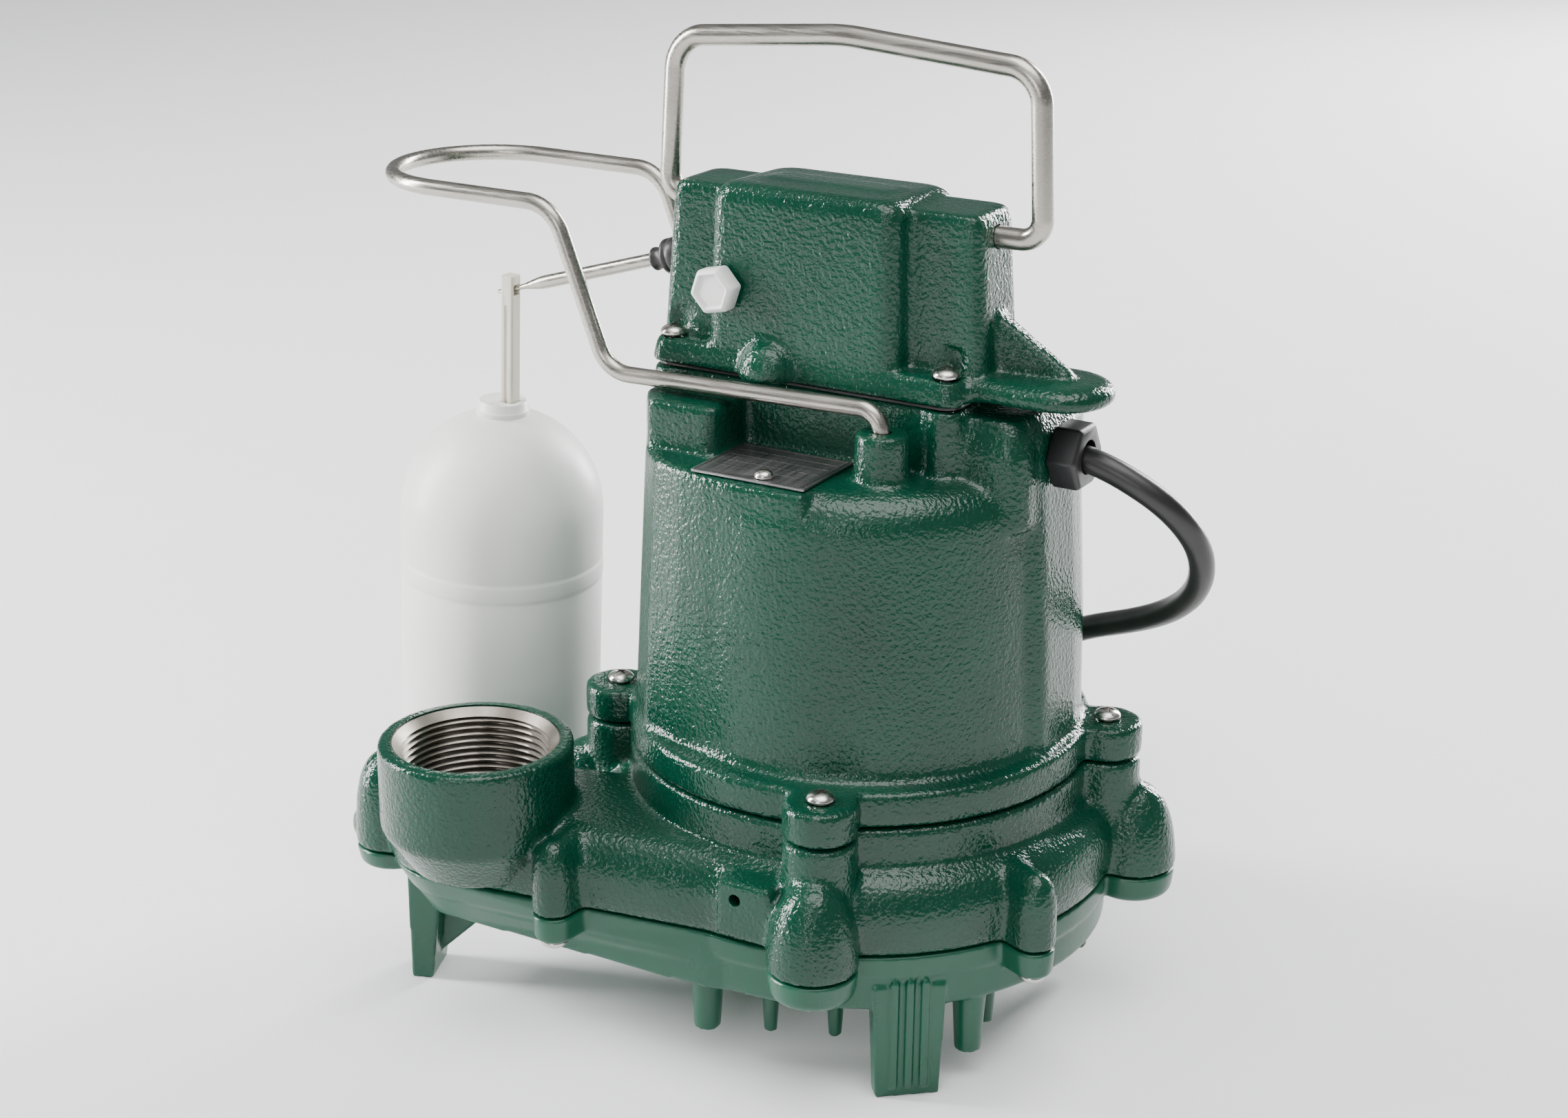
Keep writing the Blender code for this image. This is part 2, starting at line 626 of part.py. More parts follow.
def gland_side():
    """Flat-faced column that carries the cord gland, and the shoulder under the case's end."""
    plan = [(36.0, -13.0), (58.0, -13.0), (62.2, -9.0), (62.2, 12.0), (58.0, 28.0), (50.0, 38.0),
            (30.0, 44.0)]
    levels = ((92.0, 1.07), (128.0, 1.05), (172.0, 1.0), (190.0, 1.0), (196.5, 0.94))
    column = stacked(lambda share: [(x * share, y * min(share, 1.0)) for x, y in plan], levels)
    shoulder = loft([[(x, y, 164.0) for x, y in rounded_rectangle((42.0, CASE_Y), 19.5, 19.0, 7.0, 3)],
                     [(x, y, 186.0) for x, y in rounded_rectangle((42.0, CASE_Y), 19.0, 18.0, 7.0, 3)],
                     [(x, y, 196.0) for x, y in rounded_rectangle((40.0, CASE_Y), 17.5, 14.0, 7.0, 3)]])
    return column, shoulder


def motor_housing():
    """Cast barrel over the motor, with the flange at its foot and the switch case's neck on top."""
    bottom = SEAM_Z + GAP / 2.0
    crown = BARREL_SHOULDER_R
    profile = [(RING_R, bottom), (RING_R, SEAT_Z - 1.9), (RING_R - 1.4, SEAT_Z - 0.7),
               (BARREL_FOOT_R + 2.0, SEAT_Z),
               (BARREL_FOOT_R, SEAT_Z + 3.0), (BARREL_TOP_R, LEDGE_Z - crown)]
    for angle in (30.0, 60.0, 90.0):
        profile.append((BARREL_TOP_R - crown * (1.0 - math.cos(math.radians(angle))),
                        LEDGE_Z - crown * (1.0 - math.sin(math.radians(angle)))))
    body = fuse(turned(profile, BARREL_SIDES), nameplate_side())
    for angle in SCREW_ANGLES:
        boss = turned([(11.0, bottom), (11.0, SEAT_Z - 1.0), (10.0, SEAT_Z)], 16,
                      polar(SCREW_CIRCLE_R, angle))
        clear = cylinder(polar(SCREW_CIRCLE_R, angle), 9.0, SEAT_Z, SEAT_Z + 30.0, 16)
        body = cut(fuse(body, boss), clear)
    neck = prism(neck_outline(1.6), 164.0, NECK_Z)
    body = fuse(body, neck, *gland_side())
    for side, y in ((-1.0, -32.0), (1.0, 25.6)):
        corner = rounded_rectangle((-42.5, y), 14.5, 10.0, 3.0, 2)
        block = loft([[(x, y, 168.0) for x, y in corner], [(x, y, 192.2) for x, y in corner],
                      [(x * 0.99, y * 0.98, 193.1) for x, y in corner]])
        block = combine(block, [cylinder((0.0, 0.0), 65.4, 160.0, 200.0, BARREL_SIDES)], "INTERSECT")
        socket = turned([(8.4, 166.0), (7.8, 191.2), (7.0, 192.3)], 16,
                        (GUARD_SOCKET_X, GUARD_Y + side * (GUARD_HALF - 0.6)))
        body = fuse(body, block, socket)
    for x, y in case_screw_places():
        body = fuse(body, cylinder((x, y), 5.9, 166.0, NECK_Z, BOSS_SIDES))

    cavity = turned([(STATOR_R + GAP, bottom - 4.0), (STATOR_R + GAP, 160.0), (48.0, 168.0)], 32)
    neck_cavity = prism(rounded_rectangle((-2.0, CASE_Y), 31.0, 13.0, 4.0, 2), 175.0, NECK_Z + 4.0)
    wire_slot = box((-32.0, -9.0, 160.0), (-20.0, 6.0, 180.0))
    body = cut(body, cavity, neck_cavity, wire_slot)
    body = fuse(body, cylinder((0.0, 0.0), 15.0, 157.0, 172.0, 24))
    bearing_bore = cylinder((0.0, 0.0), 11.0, 150.0, 170.0, 24)
    gland_bore = along_gland(cylinder((0.0, 0.0), GLAND_SHANK_R + GAP, 20.0, 90.0, 16))
    body = cut(body, bearing_bore, gland_bore)
    for side in (-1.0, 1.0):
        place = (GUARD_SOCKET_X, GUARD_Y + side * GUARD_HALF)
        body = cut(body, cylinder(place, GUARD_R + GAP, GUARD_END_Z - GAP, 200.0, BOSS_SIDES))
    for angle in SCREW_ANGLES:
        body = cut(body, cylinder(polar(SCREW_CIRCLE_R, angle), SCREW_HOLE_R, bottom - 3.0, SEAT_Z + 6.0, 8))
    for place in case_screw_places():
        body = cut(body, cylinder(place, SCREW_HOLE_R, CASE_SCREW_TIP_Z - 1.0, NECK_Z + 3.0, 8))
    body = cut(body, cylinder(RIVET, RIVET_HOLE_R, LEDGE_Z - 5.0, LEDGE_Z + 2.0, 8))
    return finish(body, "motor_housing", "cast_green")


def nameplate():
    """Blank plate on the ledge, and the drive rivet that holds it."""
    low = LEDGE_Z + GAP
    top = low + PLATE_THICKNESS
    plate = prism(rounded_rectangle(PLATE_CENTRE, PLATE_HALF[0], PLATE_HALF[1], 0.8, 2), low, top)
    plate = cut(plate, cylinder(RIVET, RIVET_HOLE_R, low - 1.0, top + 1.0, 8))
    finish(plate, "nameplate", "plate")
    seat = top + GAP
    rivet = turned([(RIVET_HOLE_R - 0.4, LEDGE_Z - 4.5), (RIVET_HOLE_R - 0.4, seat), (2.9, seat),
                    (2.7, seat + 0.9),
                    (1.8, seat + 1.7), (0.0, seat + 2.1)], BOSS_SIDES, RIVET)
    finish(rivet, "nameplate_rivet", "steel")


# ---------------------------------------------------------------- switch case

def case_block(centre_x, half_x, half_y, top_z, draft, rounding, fall):
    """A tapered block with rounded corners and a rounded upper edge, whose roof falls to the back."""
    levels = [(CASE_Z, 0.0, 0.0), (top_z - rounding, draft, 1.0)]
    for angle in (30.0, 60.0, 90.0):
        lift = rounding * (1.0 - math.sin(math.radians(angle)))
        inset = draft + rounding * (1.0 - math.cos(math.radians(angle)))
        levels.append((top_z - lift, inset, 1.0))
    rings = []
    for z, inset, share in levels:
        outline = rounded_rectangle((centre_x, CASE_Y), half_x - inset, half_y - inset * half_y / half_x,
                                    4.0, 3)
        rings.append([(x, y, z - share * fall * (y - CASE_Y + half_y) / (2.0 * half_y)) for x, y in outline])
    return loft(rings)


def drip_lobe():
    """Flat shield over the cord gland, with a tapering rib up to the case's end."""
    half = 16.0

    def outline(inset):
        round_end = arc((LOBE_TIP_X - half, CASE_Y), half - inset, -90.0, 90.0, 10)
        return [(30.0, CASE_Y - half + inset)] + round_end + [(30.0, CASE_Y + half - inset)]

    levels = ((200.0, 3.0), (200.9, 1.0), (202.6, 0.0), (204.6, 0.4), (206.2, 2.0), (206.9, 4.5))
    lobe = stacked(outline, levels)
    ridge = [[(30.0, -7.0, 206.0), (70.0, -4.0, 204.0), (70.0, 4.0, 204.0), (30.0, 7.0, 206.0)],
             [(30.0, -5.0, 232.0), (66.0, -2.0, 210.0), (66.0, 2.0, 210.0), (30.0, 5.0, 232.0)]]
    rib = loft([[(x, y + CASE_Y, z) for x, y, z in ring] for ring in ridge])
    return fuse(lobe, bevelled(rib, 1.6))


def switch_case():
    """Cast cover of the switch: flange, tall middle, narrower ends, drip shield and drain hood."""
    front = CASE_Y - CASE_HALF_Y
    body = stacked(neck_outline, ((CASE_Z, -1.2), (CASE_Z + 1.5, -1.2), (CASE_SEAT_Z - 1.0, 0.2),
                                  (CASE_SEAT_Z, 1.1)))
    middle = case_block(CASE_X - 0.6, BLOCK_HALF_X, CASE_HALF_Y, CASE_TOP_Z, 1.2, 5.0, CASE_FALL)
    ends = case_block(CASE_X + 1.2, END_HALF_X, END_HALF_Y, END_TOP_Z, END_DRAFT, 3.5, 0.0)
    body = fuse(body, middle, ends, drip_lobe())
    hood = turned([(9.0, -8.0), (9.0, -1.0), (8.4, 2.6), (6.6, 5.2), (3.6, 6.8), (0.0, 7.2)], 16)
    turn = Matrix.Translation((-20.0, front, 201.4)) @ Matrix.Rotation(math.radians(90.0), 4, "X")
    body = fuse(body, transformed(hood, turn))
    body = cut(body, box((-40.0, -40.0, 180.0), (0.0, -10.0, CASE_Z)))
    slope = Matrix.Identity(4)
    slope[2][1] = -CASE_FALL / (2.0 * CASE_HALF_Y)
    panel = prism(rounded_rectangle((CASE_X, CASE_Y), 24.0, 8.5, 3.0, 3), CASE_TOP_Z - 4.0, CASE_TOP_Z - 0.2)
    body = fuse(body, transformed(panel, slope))

    inner = prism(rounded_rectangle((CASE_X - 0.6, CASE_Y), BLOCK_HALF_X - WALL - 1.5,
                                    CASE_HALF_Y - WALL - 1.0, 3.0, 2),
                  CASE_Z - 3.0, CASE_TOP_Z - CASE_FALL - WALL)
    inner_ends = prism(rounded_rectangle((CASE_X + 1.2, CASE_Y), 44.4, END_HALF_Y - WALL - 0.6, 3.0, 2),
                       CASE_Z - 3.0, END_TOP_Z - WALL - 0.6)
    body = cut(body, fuse(inner, inner_ends))
    handle_bores = transformed(cylinder((0.0, 0.0), HANDLE_R + GAP, -80.0, 80.0, 16),
                               Matrix.Translation((HANDLE_X, CASE_Y, HANDLE_Z))
                               @ Matrix.Rotation(math.radians(90.0), 4, "Y"))
    seat = turned([(0.0, -6.0), (3.0, -5.2), (5.2, -3.0), (6.0, 0.0), (5.2, 3.0), (3.0, 5.2), (0.0, 6.0)], 16)
    arm_seat = transformed(seat, Matrix.Translation(ARM_PIVOT))
    x, y, z = ARM_PIVOT
    arm_slot = box((x - 1.0, y - 2.7, z - 6.6), (x + 20.0, y + 2.7, z + 4.4))
    plug_bore = transformed(cylinder((0.0, 0.0), CASE_PLUG_SHANK_R + GAP, -4.0, 16.0, BOSS_SIDES),
                            Matrix.Translation((CASE_PLUG[0], front, CASE_PLUG[1]))
                            @ Matrix.Rotation(math.radians(-90.0), 4, "X"))
    body = cut(body, handle_bores, arm_seat, arm_slot, plug_bore)
    for place in case_screw_places():
        body = cut(body, cylinder(place, SCREW_HOLE_R, CASE_Z - 3.0, CASE_SEAT_Z + 1.0, 8))
        body = cut(body, cylinder(place, HEAD_R + 1.2, CASE_SEAT_Z, CASE_SEAT_Z + 7.0, BOSS_SIDES))
    return finish(body, "switch_case", "cast_green")


def gasket():
    sheet = prism(neck_outline(0.7), NECK_Z + GAP, CASE_Z - GAP)
    inside = rounded_rectangle((CASE_X, CASE_Y), CASE_HALF_X - 7.0, CASE_HALF_Y - 8.0, 4.0, 2)
    sheet = cut(sheet, prism(inside, NECK_Z - 2.0, CASE_Z + 2.0))
    for place in case_screw_places():
        sheet = cut(sheet, cylinder(place, SCREW_HOLE_R, NECK_Z - 2.0, CASE_Z + 2.0, 8))
    finish(sheet, "switch_case_gasket", "rubber")


def case_plug():
    """White hexagonal plug in the case's front face, with a shallow dished end."""
    hexagon = [polar(7.1, 60.0 * i + 12.0) for i in range(6)]
    face_gap = 0.8
    head = loft([[(x, y, face_gap) for x, y in hexagon], [(x, y, 6.0) for x, y in hexagon],
                 [(x * 0.84, y * 0.84, 7.0) for x, y in hexagon]])
    head = cut(head, turned([(5.0, 6.1), (5.4, 8.0)], BOSS_SIDES))
    head = fuse(head, cylinder((0.0, 0.0), CASE_PLUG_SHANK_R, -9.0, 2.0, BOSS_SIDES))
    turn = (Matrix.Translation((CASE_PLUG[0], CASE_Y - CASE_HALF_Y, CASE_PLUG[1]))
            @ Matrix.Rotation(math.radians(90.0), 4, "X"))
    finish(transformed(head, turn), "case_plug", "white_plastic")


# ---------------------------------------------------------------- handle, guard, arm and float

def carry_handle():
    """Bent bar whose turned-in ends sit in the case's end walls; it swings about them."""
    low, high, top = HANDLE_Z, 292.4, 297.1
    half_top = HANDLE_HALF - 2.6
    corners = [(-HANDLE_STUB_X, low, 0.0), (-HANDLE_HALF, low, 6.4), (-half_top, high, 11.0),
               (-3.0, top, 60.0),
               (half_top, high, 11.0), (HANDLE_HALF, low, 6.4), (HANDLE_STUB_X, low, 0.0)]
    path = rounded_path([((HANDLE_X + x, CASE_Y, z), bend) for x, z, bend in corners], 4)
    wire("carry_handle", path, HANDLE_R, 2, "steel", (HANDLE_X, CASE_Y, HANDLE_Z))


def float_guard():
    """Bent wire loop that stands round the switch arm and the float's rod."""
    front = GUARD_Y - GUARD_HALF
    corners = [((GUARD_SOCKET_X, front, GUARD_END_Z), 0.0), ((GUARD_SOCKET_X, front, GUARD_LOW_Z + 2.4), 7.0),
               ((-69.6, front, GUARD_LOW_Z), 11.0), ((-88.6, front, GUARD_HIGH_Z), 13.0)]
    tip = arc((GUARD_TIP_X, GUARD_Y), GUARD_HALF, 270.0, 90.0, 12)
    first = rounded_path(corners + [((*tip[0], GUARD_HIGH_Z), 0.0)], 4)
    last = [Vector((p.x, 2.0 * GUARD_Y - p.y, p.z)) for p in reversed(first)]
    wire("float_guard", first + [Vector((*point, GUARD_HIGH_Z)) for point in tip[1:-1]] + last, GUARD_R, 2,
         "steel")


def arm_direction():
    return (Vector(FLOAT_PIN) - Vector(ARM_PIVOT)).normalized()


def switch_arm():
    """Arm from the snap switch, out through the boot to the float's rod; flattened at its tip."""
    pivot, pin, outward = Vector(ARM_PIVOT), Vector(FLOAT_PIN), arm_direction()
    twist = pin - outward * 10.0
    across_arm = Vector((0.0, 1.0, 0.0))
    sections = ((pivot + Vector(ARM_INNER), ARM_R, ARM_R), (pivot - outward * 5.6, ARM_R, ARM_R),
                (twist, ARM_R, ARM_R), (twist + outward * 5.0, 1.2, 0.8), (pin + outward * 5.0, 1.1, 0.8))
    rings = []
    for point, across, tall in sections:
        lift = across_arm.cross(outward)
        angles = [math.tau * i / 10 for i in range(10)]
        rings.append([tuple(point + across_arm * across * math.cos(a) + lift * tall * math.sin(a)) for a in angles])
    finish(loft(rings), "switch_arm", "steel", ARM_PIVOT)


def arm_boot():
    """Rubber boot turned about the arm, round behind where it seats in the case."""
    inner = ARM_R + GAP
    profile = [(inner, -4.6), (3.4, -4.4), (5.0, -2.4), (5.6, 0.0), (5.5, 3.6), (4.6, 4.8), (3.5, 5.3),
               (3.1, 8.6),
               (inner, 9.0)]
    frame = Matrix.Translation(ARM_PIVOT) @ arm_direction().to_track_quat("Z", "Y").to_matrix().to_4x4()
    finish(transformed(turned_ring(profile, 16), frame), "arm_boot", "rubber", ARM_PIVOT)


def float_and_rod():
    """Flat plastic rod with an eye for the arm's tip, and the moulded float below it."""
    lean = (Matrix.Translation(FLOAT_PIN) @ Matrix.Rotation(math.radians(FLOAT_LEAN), 4, "Y")
            @ Matrix.Translation(-Vector(FLOAT_PIN)))
    rod_low = FLOAT_TOP_Z - 12.0
    rod = prism(rounded_rectangle((ROD_X, CASE_Y), ROD_HALF_X, ROD_HALF_Y, 0.8, 2), rod_low,
                FLOAT_PIN[2] + 4.6)
    eye = box((ROD_X - 6.0, CASE_Y - 1.5, FLOAT_PIN[2] - 1.7),
              (ROD_X + 6.0, CASE_Y + 1.5, FLOAT_PIN[2] + 1.7))
    finish(transformed(cut(rod, eye), lean), "float_rod", "rod_plastic", FLOAT_PIN)

    radius, top_z, low_z, rounding, dome = FLOAT_R, FLOAT_TOP_Z, FLOAT_BOTTOM_Z, 9.0, 34.0
    profile = [(radius - rounding, low_z)]
    profile += [(radius - rounding + rounding * math.sin(math.radians(a)),
                 low_z + rounding - rounding * math.cos(math.radians(a))) for a in (45.0, 90.0)]
    profile += [(radius, FLOAT_SEAM_Z), (radius + 0.4, FLOAT_SEAM_Z + 1.0),
                (radius + 0.4, FLOAT_SEAM_Z + 5.0),
                (radius, FLOAT_SEAM_Z + 6.0)]
    for angle in (0.0, 20.0, 40.0, 60.0, 75.0):
        profile.append((radius * math.cos(math.radians(angle)),
                        top_z - dome + dome * math.sin(math.radians(angle)) * 0.985))
    profile += [(8.2, top_z), (7.6, top_z + 2.8)]
    body = turned(profile, 28, (FLOAT_X, CASE_Y))
    pocket = prism(rounded_rectangle((ROD_X, CASE_Y), ROD_HALF_X + GAP, ROD_HALF_Y + GAP, 1.0, 2),
                   rod_low - GAP,
                   top_z + 9.0)
    finish(transformed(cut(body, pocket), lean), "float", "float_plastic", FLOAT_PIN)


# ---------------------------------------------------------------- gland, cord and plug

def along_gland(solid):
    """Lays a solid that was made along Z on the gland's axis, Z pointing out to +X."""
    turn = Matrix.Rotation(math.radians(90.0), 4, "Y")
    return transformed(solid, Matrix.Translation((0.0, GLAND_Y, GLAND_Z)) @ turn)


def cord_gland():
    """Gland body in the motor housing's face, and the hexagonal nut that closes it on the cord."""
    body_end = GLAND_END_X - 3.0
    body = turned_ring(washer_outline(CORD_R + GAP, GLAND_SHANK_R, 42.0, body_end), 16)
    finish(along_gland(body), "cord_gland_body", "black_plastic")
    start = GLAND_FACE_X + GAP
    hexagon = [polar(GLAND_NUT_R, 60.0 * i + 30.0) for i in range(6)]
    nut = loft([[(x * 0.95, y * 0.95, start) for x, y in hexagon], [(x, y, start + 1.0) for x, y in hexagon],
                [(x, y, GLAND_END_X - 1.0) for x, y in hexagon],
                [(x * 0.93, y * 0.93, GLAND_END_X) for x, y in hexagon]])
    bore = turned([(GLAND_SHANK_R + GAP, start - 2.0), (GLAND_SHANK_R + GAP, body_end + GAP),
                   (CORD_R + 1.0, body_end + GAP), (CORD_R + 1.4, GLAND_END_X + 2.0)], 16)
    finish(along_gland(cut(nut, bore)), "cord_gland_nut", "black_plastic")


def power_cord():
    wire("power_cord", smooth_route(CORD_ROUTE, 5.0 * CORD_R), CORD_R, 2, "rubber")


def cord_coil():
    """Outer shape of the coiled length: a ring turned about the coil's axis."""
    angles = [math.tau * i / 8 for i in range(8)]
    middle = COIL_HALF + 0.1
    profile = [(COIL_R + COIL_HALF * math.cos(a), middle + COIL_HALF * math.sin(a)) for a in angles]
    finish(turned_ring(profile, 24, COIL_CENTRE), "cord_coil", "rubber")


def plug_ring(x, half_y, half_z, corner):
    outline = rounded_rectangle((PLUG_Y, PLUG_Z), half_y, half_z, corner, 2)
    return [(x, y, z) for y, z in outline]


def plug():
    """Grounded plug lying where the cord leaves the coil, its blades pointing to -X."""
    body = loft([plug_ring(PLUG_TAIL_X, 4.6, 4.6, 3.6), plug_ring(PLUG_TAIL_X - 15.0, 6.6, 6.6, 4.0),
                 plug_ring(PLUG_TAIL_X - 18.0, PLUG_HALF_Y - 3.0, PLUG_HALF_Z - 3.0, 4.0),
                 plug_ring(PLUG_TAIL_X - 20.0, PLUG_HALF_Y - 1.0, PLUG_HALF_Z - 1.0, 4.0),
                 plug_ring(PLUG_FACE_X + 1.5, PLUG_HALF_Y, PLUG_HALF_Z, 4.0),
                 plug_ring(PLUG_FACE_X, PLUG_HALF_Y - 1.2, PLUG_HALF_Z - 1.2, 3.0)])
    for name, side, half_z in (("plug_blade_line", -6.35, 3.2), ("plug_blade_neutral", 6.35, 4.0)):
        low = Vector((PLUG_FACE_X - BLADE_REACH, PLUG_Y + side - 0.75, PLUG_Z + 4.0 - half_z))
        high = Vector((PLUG_FACE_X + 8.0, PLUG_Y + side + 0.75, PLUG_Z + 4.0 + half_z))
        clearance = Vector((GAP, GAP, GAP))
        body = cut(body, box(low - clearance, high + clearance))
        finish(box(low, high), name, "brass")
    along = Matrix.Translation((PLUG_FACE_X, PLUG_Y, PLUG_Z - 7.0)) @ Matrix.Rotation(math.radians(-90.0), 4,
                                                                                      "Y")
    body = cut(body, transformed(cylinder((0.0, 0.0), 2.4 + GAP, -8.0 - GAP, 4.0, BOSS_SIDES), along))
    finish(body, "plug_body", "black_plastic")
    ground = turned([(2.4, -8.0), (2.4, BLADE_REACH + 1.0), (1.2, BLADE_REACH + 3.0)], BOSS_SIDES)
    finish(transformed(ground, along), "plug_ground_pin", "brass")


# ---------------------------------------------------------------- motor and pump internals

def motor_parts():
    """Shaft, rotor, stator with its windings, bearings, shaft seal and the housings' seal ring."""
    shaft = turned([(SHAFT_R, 50.2), (SHAFT_R, 168.0), (SHAFT_R - 1.0, 169.0)], 20)
    finish(shaft, "motor_shaft", "steel")
    winding_r = STATOR_R - 6.0
    rings = (("rotor_core", SHAFT_R + GAP, 27.6, 110.0, 154.0, 28, "dark_steel"),
             ("stator_core", 28.4, STATOR_R, 112.0, 152.0, 32, "dark_steel"),
             ("stator_winding_top", 31.5, winding_r, 152.0 + GAP, 159.0, 28, "copper"),
             ("stator_winding_bottom", 31.5, winding_r, 101.5, 112.0 - GAP, 28, "copper"),
             ("upper_bearing", SHAFT_R + 0.15, 10.7, 157.5, 169.4, 20, "bronze"),
             ("lower_bearing", SHAFT_R + 0.15, 10.7, 81.0 + GAP, 99.0, 20, "bronze"),
             ("shaft_seal_seat", SHAFT_R + 1.2, 12.7, 70.4, 77.0 - GAP, 20, "ceramic"),
             ("shaft_seal_head", SHAFT_R + GAP, 11.6, 61.4, 70.1, 20, "black_plastic"),
             ("housing_seal_ring", 60.9, 64.1, SEAM_Z - 2.3, SEAM_Z - 0.2, 32, "rubber"))
    for name, inner, outer, low, high, sides, kind in rings:
        finish(turned_ring(washer_outline(inner, outer, low, high), sides), name, kind)


def impeller():
    """Vortex impeller: a disc with straight vanes below it and a hub on the shaft."""
    disc = cylinder((0.0, 0.0), 48.0, 57.5, 60.6, 32)
    body = fuse(disc, cylinder((0.0, 0.0), 12.5, 50.4, 60.6, 20))
    for number in range(8):
        vane = box((9.0, -1.6, 48.5), (46.5, 1.6, 58.5))
        body = fuse(body, transformed(vane, Matrix.Rotation(math.tau * number / 8, 4, "Z")))
    body = cut(body, cylinder((0.0, 0.0), SHAFT_R + GAP, 40.0, 70.0, 20))
    finish(body, "impeller", "black_plastic")
    hexagon = [polar(9.0, 60.0 * i) for i in range(6)]
    finish(prism(hexagon, 44.0, 49.8), "impeller_nut", "brass")


def switch_parts():
    """Snap switch that the arm's inner end works, and the motor's overload cut-out."""
    body = box((-52.2, CASE_Y - 5.6, NECK_Z + GAP), (-22.0, CASE_Y + 5.6, SNAP_SWITCH_TOP_Z))
    body = cut(body, cylinder(PLUNGER, PLUNGER_R + GAP, PLUNGER_LOW_Z - 6.0, SNAP_SWITCH_TOP_Z + 4.0,
                              BOSS_SIDES))
    finish(body, "snap_switch", "black_plastic")
    plunger = cylinder(PLUNGER, PLUNGER_R, PLUNGER_LOW_Z, PLUNGER_TOP_Z, BOSS_SIDES)
    finish(plunger, "switch_plunger", "white_plastic", (*PLUNGER, PLUNGER_LOW_Z))
    winding_top = 159.0
    cut_out = cylinder((0.0, 39.5), 7.5, winding_top + GAP, winding_top + 6.5, 16)
    finish(cut_out, "overload_protector", "black_plastic")


def screw(name, place, seat_z, tip_z, downward=False):
    """Round-head screw; a base screw has its head below."""
    sign = -1.0 if downward else 1.0
    seat = seat_z + sign * GAP
    profile = [(SHANK_R, tip_z), (SHANK_R, seat), (HEAD_R, seat), (HEAD_R, seat + sign * 0.9),
               (HEAD_R * 0.8, seat + sign * 2.1), (0.0, seat + sign * HEAD_HEIGHT)]
    finish(turned(profile, 10, place), name, "steel", (*place, seat_z))


def screws():
    for number, angle in enumerate(SCREW_ANGLES, 1):
        screw(f"motor_housing_screw_{number}", polar(SCREW_CIRCLE_R, angle), SEAT_Z, MOTOR_SCREW_TIP_Z)
    for number, place in enumerate(case_screw_places(), 1):
        screw(f"switch_case_screw_{number}", place, CASE_SEAT_Z, CASE_SCREW_TIP_Z)
    for number, (place, seat_z) in enumerate(base_screw_places(), 1):
        screw(f"base_screw_{number}", place, seat_z, BASE_SCREW_TIP_Z, downward=True)


def build():
    clear_scene()
    frame = bpy.data.objects.new("pump", None)
    frame.location = (SHAFT_X * MM, SHAFT_Y * MM, 0.0)
    bpy.context.scene.collection.objects.link(frame)
    for make in (pump_housing, base_plate, motor_housing, nameplate, switch_case, gasket, case_plug,
                 carry_handle,
                 float_guard, switch_arm, arm_boot, float_and_rod, cord_gland, power_cord, cord_coil, plug,
                 motor_parts, impeller, switch_parts, screws):
        make()


build()
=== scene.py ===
"""Looks of a submersible sump pump with a float switch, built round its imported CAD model.

Shapes are written in millimetres, in plan from the motor shaft's axis and in height from the floor, as
the CAD model's own dimensions are. The helpers move them to the model's frame, in metres.
"""

import math

import bmesh
import bpy
from mathutils import Matrix, Vector


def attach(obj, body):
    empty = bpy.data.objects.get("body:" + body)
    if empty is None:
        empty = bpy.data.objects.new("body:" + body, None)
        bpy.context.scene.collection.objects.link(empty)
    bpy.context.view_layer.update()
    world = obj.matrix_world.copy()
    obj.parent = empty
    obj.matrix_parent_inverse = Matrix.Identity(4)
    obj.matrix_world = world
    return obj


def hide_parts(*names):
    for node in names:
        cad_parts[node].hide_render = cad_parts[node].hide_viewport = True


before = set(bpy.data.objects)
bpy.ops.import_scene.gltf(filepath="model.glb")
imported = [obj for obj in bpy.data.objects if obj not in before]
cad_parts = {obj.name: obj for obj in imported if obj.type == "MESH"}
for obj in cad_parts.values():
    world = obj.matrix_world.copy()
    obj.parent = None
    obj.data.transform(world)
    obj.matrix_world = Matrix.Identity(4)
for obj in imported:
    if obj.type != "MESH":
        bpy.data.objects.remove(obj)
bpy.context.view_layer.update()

MM = 0.001
SHAFT = Vector((0.0358, 0.0076, 0.0))      # the shaft's axis in the model's frame


def polar(radius, degrees):
    return (radius * math.cos(math.radians(degrees)), radius * math.sin(math.radians(degrees)))


# Main levels, radii and places, as in the CAD model
PAN_Z, FLANGE_Z, BASE_TOP_Z, VOLUTE_Z = 28.0, 37.5, 46.0, 70.5
SEAM_Z, SEAT_Z, LEDGE_Z, NECK_Z = 82.7, 93.7, 178.0, 197.9
CASE_Z, CASE_SEAT_Z, CASE_TOP_Z = 199.2, 206.9, 255.4
VOLUTE_R, RING_R = 81.0, 71.0
BARREL_FOOT_R, BARREL_TOP_R = 63.6, 60.2
SCREW_CIRCLE_R, BOSS_CIRCLE_R = 76.0, 86.0
SCREW_ANGLES = (-160.2, -70.2, 19.8, 109.8)
DISCHARGE, DISCHARGE_R, DISCHARGE_RIM_Z = (-87.7, -80.7), 29.5, 90.7
OUTLET_BOSS, OUTLET_BOSS_SEAT_Z = (-124.0, -76.0), 40.0
VENT = (5.3, 62.5)
CASE_X, CASE_Y, CASE_HALF_X, CASE_HALF_Y = -9.6, -3.2, 50.6, 21.3
CASE_SCREW_X, CASE_SCREW_Y = 45.3, 16.6
GUARD_Y, GUARD_HALF, GUARD_SOCKET_X = -4.0, 29.9, 22.9
ARM_PIVOT = Vector((-63.6, CASE_Y, 226.6))
FLOAT_PIN = Vector((-126.2, CASE_Y, 207.4))
FLOAT_LEAN = 2.1
